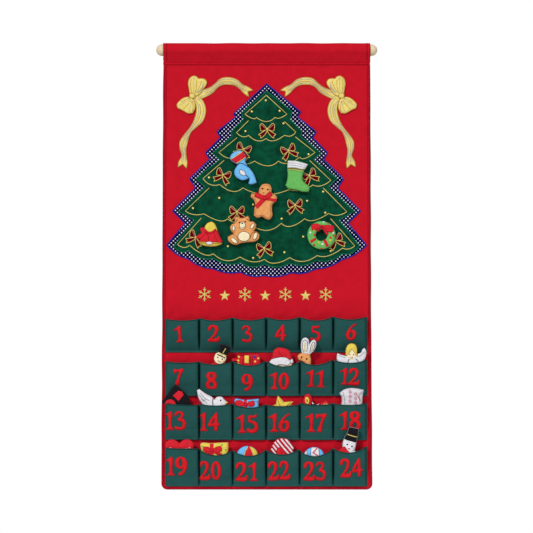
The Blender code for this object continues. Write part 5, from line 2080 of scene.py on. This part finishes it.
def row_two() -> list[Ornament]:
    """Make the ornaments of pockets 8 to 12.

    Returns:
        All five, from left to right.
    """
    soldier = Ornament("toy_soldier", RED_FELT, (
        disc((220.2, 357.4), (6.3, 5.8), CREAM_FELT, DARK_LINE),
        Patch([(217.8, 351.6), (220.4, 343), (231.8, 346.6), (228.4, 355.8)], BLACK_FELT,
            puff=0.0014, both=True, sharp=20),
        Stitches([(218.6, 351.6), (222, 353), (226.4, 354.8)], GOLD_THREAD, 0.0008, 0.0014),
        Stitches([(217.4, 353.4), (221.6, 355.2), (225, 357)], BLACK_FELT, 0.0011, 0.0012),
        Stitches([(225.8, 347.4), (224.6, 349.4), (223, 352)], GOLD_THREAD, 0.0009, 0.0018),
        *dots([(217.9, 356.4), (222.4, 358.2)], (0.8, 0.8), BLACK_FELT, 0.0020),
        Stitches([(217.9, 359.4), (219.4, 360.8), (221, 360.8)], RUST_LINE, 0.0006, 0.0014),
    ), row=1, seam=DARK_LINE)
    sleigh = Ornament("toy_sleigh", RED_FELT, (
        Patch([(244.6, 355), (248.8, 355), (248.8, 362.2), (244.6, 362.2)], YELLOW_FELT, sharp=20),
        disc((254.9, 356.2), (1.3, 1.3), ROYAL_FELT),
        *dots([(238.9, 356.3), (238.4, 359.9)], (1.1, 1.1), YELLOW_FELT),
        *dots([(238.4, 363), (255.2, 360.8), (258.4, 357.6)], (1, 1), YELLOW_FELT),
        Stitches([(243, 355.2), (243, 360), (243, 365)], DARK_RED_LINE),
        Stitches([(250.4, 355), (250.4, 360), (250.4, 365)], DARK_RED_LINE),
        Stitches([(252.4, 354.8), (252.4, 360), (252.4, 365)], DARK_RED_LINE),
    ), row=1, seam=DARK_RED_LINE)
    father = Ornament("father_christmas", RED_FELT, (
        Patch([(269.6, 363.6), (278.2, 362), (291.4, 362.4), (293, 372), (270.4, 372)], CREAM_FELT),
        Stitches([(277.2, 364.6), (281, 363.8), (285.4, 364.4)], DARK_LINE, 0.0005, 0.0014),
        Patch([(267, 364.9), (271.4, 358.7), (278.6, 356.5), (286.2, 356.7), (290.2, 359.4),
            (290.2, 362.7), (287.5, 364.3), (278.6, 363.9), (275.4, 366.4), (270.6, 366.6)],
            WHITE_FELT, DARK_LINE, over=True, puff=0.0018),
        disc((291.8, 360.4), (2, 2.2), WHITE_FELT, DARK_LINE, puff=0.0018),
        Patch([(270.4, 366), (277.6, 366.6), (284.4, 366.2), (292.8, 365.6), (292.4, 373),
            (270.4, 373)], WHITE_FELT, GREY_LINE, puff=0.0014),
        Stitches([(278, 349), (279.6, 352.2), (282.6, 355.6)], DARK_RED_LINE, 0.0004),
    ), row=1, seam=DARK_RED_LINE)
    reindeer = Ornament("reindeer", TAN_FELT, (
        Patch([(301.6, 352.6), (300.4, 346), (300.8, 341), (303.2, 337), (306, 336.6),
            (308.6, 339.2), (309.2, 344), (307.6, 352.6)], WHITE_FELT, puff=0.0010, both=True),
        Patch([(307.8, 352.8), (309.6, 343.6), (311.6, 340), (314.2, 338.6), (316.4, 341.4),
            (316.2, 346), (313.8, 350.6), (310.9, 353.6)], WHITE_FELT, puff=0.0010, both=True),
        Stitches([(303.6, 351.4), (302.2, 345.6), (302.8, 340.8), (304.8, 338.8), (307, 340.6),
            (307.4, 344.6), (306.4, 351)], DARK_LINE, 0.0005, 0.0013),
        Stitches([(309.6, 351.6), (311, 344.6), (312.6, 341.4), (314.4, 341.4), (314.6, 345.4),
            (312.6, 349.8)], DARK_LINE, 0.0005, 0.0013),
        Stitches([(304.8, 350.8), (304.6, 345.6), (305, 341.6)], GOLD_THREAD, 0.0011, 0.0010),
        Stitches([(310.8, 350), (312, 346.6), (313.2, 343.6)], GOLD_THREAD, 0.0011, 0.0010),
        disc((296.9, 357.2), (1.5, 1.5), RED_FELT, puff=0.0024),
        *dots([(301.4, 356.3), (306.6, 358.2)], (0.9, 0.9), BLACK_FELT),
        Stitches([(298.8, 360), (300.6, 361.4), (303, 361.6)], BROWN_LINE, 0.0005),
    ), row=1, seam=DARK_LINE)
    angel = Ornament("angel", WHITE_FELT, (
        disc((351.3, 353.4), (4.9, 5.2), CREAM_FELT),
        Patch([(345.4, 355.6), (345.4, 349), (347.4, 344.2), (351.2, 342.4), (355.2, 344),
            (357.2, 348.6), (357, 355.6), (354.8, 353), (353.4, 350.4), (351.5, 348),
            (349.6, 350.4), (347.8, 353.4)], YELLOW_FELT, BROWN_LINE, puff=0.0014, sharp=35),
        *dots([(349.6, 353.6), (353.2, 353.8)], (0.6, 0.7), BLACK_FELT, 0.0020),
        Stitches([(350.2, 356.4), (351.4, 357), (352.6, 356.4)], RUST_LINE, 0.0005, 0.0014),
        Stitches([(348.8, 358.3), (347.9, 360), (347.5, 363)], DARK_LINE),
        Stitches([(355.6, 358), (357.6, 360), (359, 363)], DARK_LINE),
        Stitches([(345.2, 356.6), (342, 356), (338.4, 354.4)], GREY_LINE),
        Stitches([(357.6, 355.4), (361, 354.2), (363.8, 350.6)], GREY_LINE),
    ), row=1, seam=DARK_LINE)
    return [soldier, sleigh, father, reindeer, angel]


def row_three() -> list[Ornament]:
    """Make the ornaments of pockets 13 to 18.

    Returns:
        All six, from left to right.
    """
    engine = Ornament("toy_engine", BLACK_FELT, (
        Patch([(173.2, 394.6), (178.5, 389.8), (182.5, 390.8), (183.9, 394), (178.8, 400.2)],
            RED_FELT, sharp=25),
        disc((170.5, 404.2), (5.6, 5.8), RED_FELT),
    ), row=2)
    dove = Ornament("dove", WHITE_FELT, (
        # A dark line between the wing and the head: painted shade in the gap between them.
        Stitches([(213.4, 396.8), (212.8, 400.6), (213.4, 405.2)], DARK_LINE, 0.0006),
        Stitches([(200.4, 391.6), (204.4, 396.4), (209, 399.6)], GREY_LINE),
        Stitches([(199.6, 394.2), (203, 398.4), (206.8, 401.8)], GREY_LINE),
        Stitches([(201.6, 398.2), (203.4, 399.8), (205.4, 398.4)], GREY_LINE),
        Patch([(225.6, 400.6), (228.2, 401.8), (225.8, 403.6)], YELLOW_FELT, over=True, sharp=20),
        disc((220.8, 399.4), (0.8, 0.8), BLACK_FELT),
    ), row=2, seam=DARK_LINE)
    blue_gift = Ornament("blue_gift", SKY_FELT, (
        band([(245.4, 398.4), (245.6, 404), (245.6, 411)], 3, RED_FELT, over=False),
        *bow_tie((245.8, 403.6), (235.2, 402.2), (254.6, 402), RED_FELT),
        Stitches([(236, 400.2), (241, 401), (244, 401.2)], NAVY_LINE, 0.0004),
        Stitches([(248, 400.8), (253, 400.4), (257.6, 400.2)], NAVY_LINE, 0.0004),
    ), row=2, trims=("blue_gift_bow",), seam=NAVY_LINE)
    star = Ornament("star", YELLOW_FELT, (
        Stitches([(277.8, 399), (281.4, 408.6), (291, 401.4)], BROWN_LINE, 0.0004),
        Stitches([(281.4, 408.6), (273.4, 404.6), (270.4, 405.2)], BROWN_LINE, 0.0004),
    ), row=2, seam=GOLD_THREAD)
    mittens = Ornament("mittens", RED_FELT, (
        Patch([(310.6, 399.6), (312.6, 401.6), (316.2, 403.6), (320.2, 402.2), (321.4, 412),
            (311, 412)], BLACK_FELT),
        *dots([(313.4, 402.2), (317.6, 403), (314, 405.4), (318, 405.8)], (1.7, 1.4), WHITE_FELT,
            0.0018),
        disc((307, 399.4), (2.2, 3.6), YELLOW_FELT, BROWN_LINE, tilt=-8),
        disc((307, 399.6), (0.9, 1.8), RED_FELT, tilt=-8, puff=0.0016),
        Stitches([(323.4, 403.4), (325.6, 403), (328, 403.4)], GOLD_THREAD, 0.0007),
    ), row=2, seam=DARK_RED_LINE)
    columns = ((349.8, (390.8, 395.4, 400)), (355.4, (393, 397.4, 401.6)))
    middles = [(x, y) for x, heights in columns for y in heights]
    diamond = ((0, -1.6), (1.3, 0), (0, 1.6), (-1.3, 0), (0, -1.6))
    diamonds = [Stitches([(x + dx, y + dy) for dx, dy in diamond], PINK_LINE, 0.0006, 0.0006, True)
                for x, y in middles]
    pouch = Ornament("satin_pouch", WHITE_SATIN, (
        *diamonds,
        Stitches([(357.4, 394.3), (358.6, 396.6), (360.2, 399.5)], BROWN_LINE, 0.0007),
        Stitches([(342.6, 391), (344, 396.6), (344.6, 403)], GREY_LINE),
        Stitches([(340.6, 391.6), (338.9, 392.8), (339.6, 394.8), (342.2, 395)], GREY_LINE, 0.0008),
        Stitches([(362, 390.4), (359.4, 393), (359.4, 401.6)], GREY_LINE),
    ), row=2, seam=GREY_LINE)
    return [engine, dove, blue_gift, star, mittens, pouch]


def row_four() -> list[Ornament]:
    """Make the ornaments of pockets 19 to 24.

    Returns:
        All six, from left to right.
    """
    heart = Ornament("heart", RED_FELT, tuple(
        Stitches([(x, 447.2 + dy), (x + 1.4, 447.2 + dy)], WHITE_LINE, 0.0005, 0.0008, True)
        for x, dy in ((169.8, -0.6), (173, 0.2), (176.2, 0.6), (179.4, 0.8), (182.6, 0.6),
            (185.8, 0.2), (189, -0.6))
    ), row=3, seam=DARK_RED_LINE)
    yellow_gift = Ornament("yellow_gift", YELLOW_FELT, (
        band([(211.8, 442.6), (211.9, 449), (212, 457)], 3.8, RED_FELT, over=False),
        *dots([(202.9, 445.6), (222.1, 443.9), (225.6, 448.8)], (0.9, 0.9), LEAF_FELT),
        band([(211.4, 450), (207, 452.2), (202.4, 455.8)], 3.2, RED_FELT, DARK_RED_LINE,
            puff=0.0014),
        band([(213, 450), (217, 451.6), (221.4, 454)], 2.8, RED_FELT, DARK_RED_LINE, puff=0.0014),
        *bow_tie((212.2, 449.2), (203.4, 447.8), (221.8, 447.2), RED_FELT),
    ), row=3, trims=("yellow_gift_bow",), seam=GOLD_THREAD)
    panel_ball = Ornament("panel_ball", SKY_FELT, (
        Patch([(247.9, 445.2), (250, 445.6), (252.8, 452.4), (254.2, 462), (243, 462),
            (244.8, 452.4)], RED_FELT, puff=0.0006, sharp=20),
        Patch([(250, 445.4), (253.6, 446.6), (257.8, 451.6), (259, 462), (254.2, 462),
            (252.9, 452.8)], YELLOW_FELT, puff=0.0006, sharp=20),
        Stitches([(248, 445.7), (245.4, 450.4), (243.6, 458)], GOLD_THREAD, 0.0006),
        Stitches([(249.9, 445.8), (252.4, 451), (253.8, 458)], GOLD_THREAD, 0.0006),
    ), row=3, seam=NAVY_LINE)
    lines = (((285, 437.6), (289.4, 442.8), (293.2, 448)), ((281, 437.8), (286.8, 444.8),
        (293, 452.2)), ((277.2, 439.2), (283, 446.2), (289.6, 454)), ((274.8, 441.2),
        (279.4, 446.8), (285.6, 454.6)), ((273, 444.2), (277.4, 449.8), (281.6, 455)),
        ((271.4, 447.8), (274.4, 451.4), (277.6, 455.4)))
    stripes = [band(line, 1.6, WHITE_FELT, over=False, puff=0.0004) for line in lines]
    striped_ball = Ornament("striped_ball", DARK_RED_FELT, (
        *stripes,
        Patch([(277.6, 446.8), (280.4, 446), (283.2, 448.8), (288, 454), (287, 457), (277, 457),
            (276.4, 450.4)], RED_FELT, DARK_RED_LINE, puff=0.0014),
        Stitches([(279.4, 447.4), (281.4, 451), (282, 455)], DARK_RED_LINE, 0.0004, 0.0018),
        Stitches([(281.8, 449), (284.8, 452.2), (286.4, 455)], DARK_RED_LINE, 0.0004, 0.0018),
    ), row=3, trims=("striped_ball_bow",), seam=DARK_RED_LINE)
    blue_ball = Ornament("blue_ball", SKY_FELT, (
        Patch([(302, 457), (303.4, 451), (306.2, 448.4), (307, 452), (306, 457)], WHITE_FELT,
            NAVY_LINE, puff=0.0006),
        Patch([(311.2, 446.2), (318.4, 446.8), (319.2, 452), (319.4, 460), (311.2, 460),
            (310.6, 452)], WHITE_FELT, NAVY_LINE, puff=0.0006, sharp=20),
        Stitches([(316.8, 447.4), (312.8, 451.6), (318, 454.6), (313.6, 459)], RED_LINE, 0.0010,
            0.0008, True),
    ), row=3, seam=NAVY_LINE)
    snowman = Ornament("snowman", WHITE_FELT, (
        Patch([(348.6, 425.8), (358.8, 427.8), (357.6, 435.4), (356.6, 441.8), (343.4, 437.9),
            (346.4, 432.4)], BLACK_FELT, puff=0.0014, both=True, sharp=25),
        Stitches([(346.6, 432.8), (351.6, 434.4), (357, 435.9)], GOLD_THREAD, 0.0009, 0.0016),
        *dots([(346.9, 443.2), (351.7, 445.2)], (0.8, 0.8), BLACK_FELT),
        disc((348.8, 447.6), (1.1, 0.6), RED_FELT, tilt=15),
        Patch([(341.6, 446.7), (344.6, 445.5), (347.4, 449.4), (349.6, 451.6), (348.6, 454.4),
            (344.2, 454.4), (337.2, 450.9)], RED_FELT, DARK_RED_LINE, over=True, puff=0.0014),
    ), row=3, lip=0.60, trims=("snowman_scarf",), seam=GREY_LINE)
    return [heart, yellow_gift, panel_ball, striped_ball, blue_ball, snowman]


# --- Surroundings -----------------------------------------------------------------------------


@dataclass
class Studio:
    """The camera, the lamps (name, strength, direction, angle), the floor and the white behind."""

    camera_at: tuple[float, float, float] = (-0.00054, -6.4, -0.4676)
    lens: float = 200.0
    ambient: float = 0.42
    lamps: tuple[tuple[str, float, tuple[float, float, float], float], ...] = (
        ("key", 1.9, (0.55, 1.0, -0.75), 12), ("fill", 0.55, (-0.8, 1.0, -0.2), 40),
        ("back", 1.1, (-0.2, -1.0, -0.3), 30))
    floor_half: float = 0.9
    floor_at: tuple[float, float, float] = (0, -0.5, -1.12)
    floor_grey: float = 0.85

    def build(self) -> None:
        """Set up everything that isn't the calendar."""
        scene = bpy.context.scene
        camera = bpy.data.objects.new("camera", bpy.data.cameras.new("camera"))
        camera.data.lens = self.lens
        camera.data.sensor_width = 36.0
        camera.data.dof.use_dof = False
        camera.location = self.camera_at
        camera.rotation_euler = (math.pi / 2, 0, 0)
        bpy.context.collection.objects.link(camera)
        scene.camera = camera
        for name, power, toward, angle in self.lamps:
            lamp = bpy.data.objects.new(name, bpy.data.lights.new(name, "SUN"))
            lamp.data.energy = power
            lamp.data.angle = math.radians(angle)
            lamp.rotation_euler = Vector(toward).to_track_quat("-Z", "Y").to_euler()
            bpy.context.collection.objects.link(lamp)
        self.build_world(scene)
        self.build_floor()
        scene.view_settings.view_transform = "Standard"

    def build_world(self, scene: bpy.types.Scene) -> None:
        """Show white to the camera, and light the calendar softly.

        Args:
            scene: The scene.
        """
        scene.world = bpy.data.worlds.new("white")
        net = Net(scene.world)
        net.tree.nodes.clear()
        white = (1.0, 1.0, 1.0, 1.0)
        soft = net.add("Background", {"Color": white, "Strength": self.ambient})
        plain = net.add("Background", {"Color": white})
        rays = net.add("LightPath", {}).outputs
        seen = rays["Is Camera Ray"]
        for kind in ("Is Glossy Ray", "Is Transmission Ray"):
            seen = net.add("Math", {0: seen, 1: rays[kind]}, "MAXIMUM").outputs["Value"]
        mix = net.add("MixShader", {"Fac": seen, 1: soft.outputs["Background"],
                                    2: plain.outputs["Background"]})
        net.add("OutputWorld", {"Surface": mix.outputs["Shader"]})

    def build_floor(self) -> None:
        """Lay a pale floor under the calendar, out of sight from the front."""
        bm = bmesh.new()
        bmesh.ops.create_grid(bm, x_segments=1, y_segments=1, size=self.floor_half)
        bm.transform(Matrix.Translation(self.floor_at))
        mesh = bpy.data.meshes.new("floor")
        bm.to_mesh(mesh)
        bm.free()
        pale = bpy.data.materials.new("floor")
        net = Net(pale)
        net.feed(net.tree.nodes["Principled BSDF"], {"Base Color": (*[self.floor_grey] * 3, 1.0)})
        mesh.materials.append(pale)
        floor = bpy.data.objects.new("floor", mesh)
        bpy.context.collection.objects.link(floor)


def main() -> None:
    """Build every sub-assembly."""
    logging.basicConfig(level=logging.INFO, format="%(name)s: %(message)s")
    Rod().build()
    Sleeve().build()
    BANNER.build()
    BANNER.build_seam()
    for row in range(ROWS.rows):
        ROWS.build(row)
    TREE.build()
    for side, name in ((1, "gold_ribbon_left"), (-1, "gold_ribbon_right")):
        Ribbons().build(side, name)
    for number in range(len(Bows.places_px)):
        Bows().build(number)
    Motifs().build()
    for ornament in (*tree_ornaments(), *row_two(), *row_three(), *row_four()):
        ornament.build()
    Studio().build()


if __name__ == "__main__":
    main()
    bpy.context.view_layer.update()
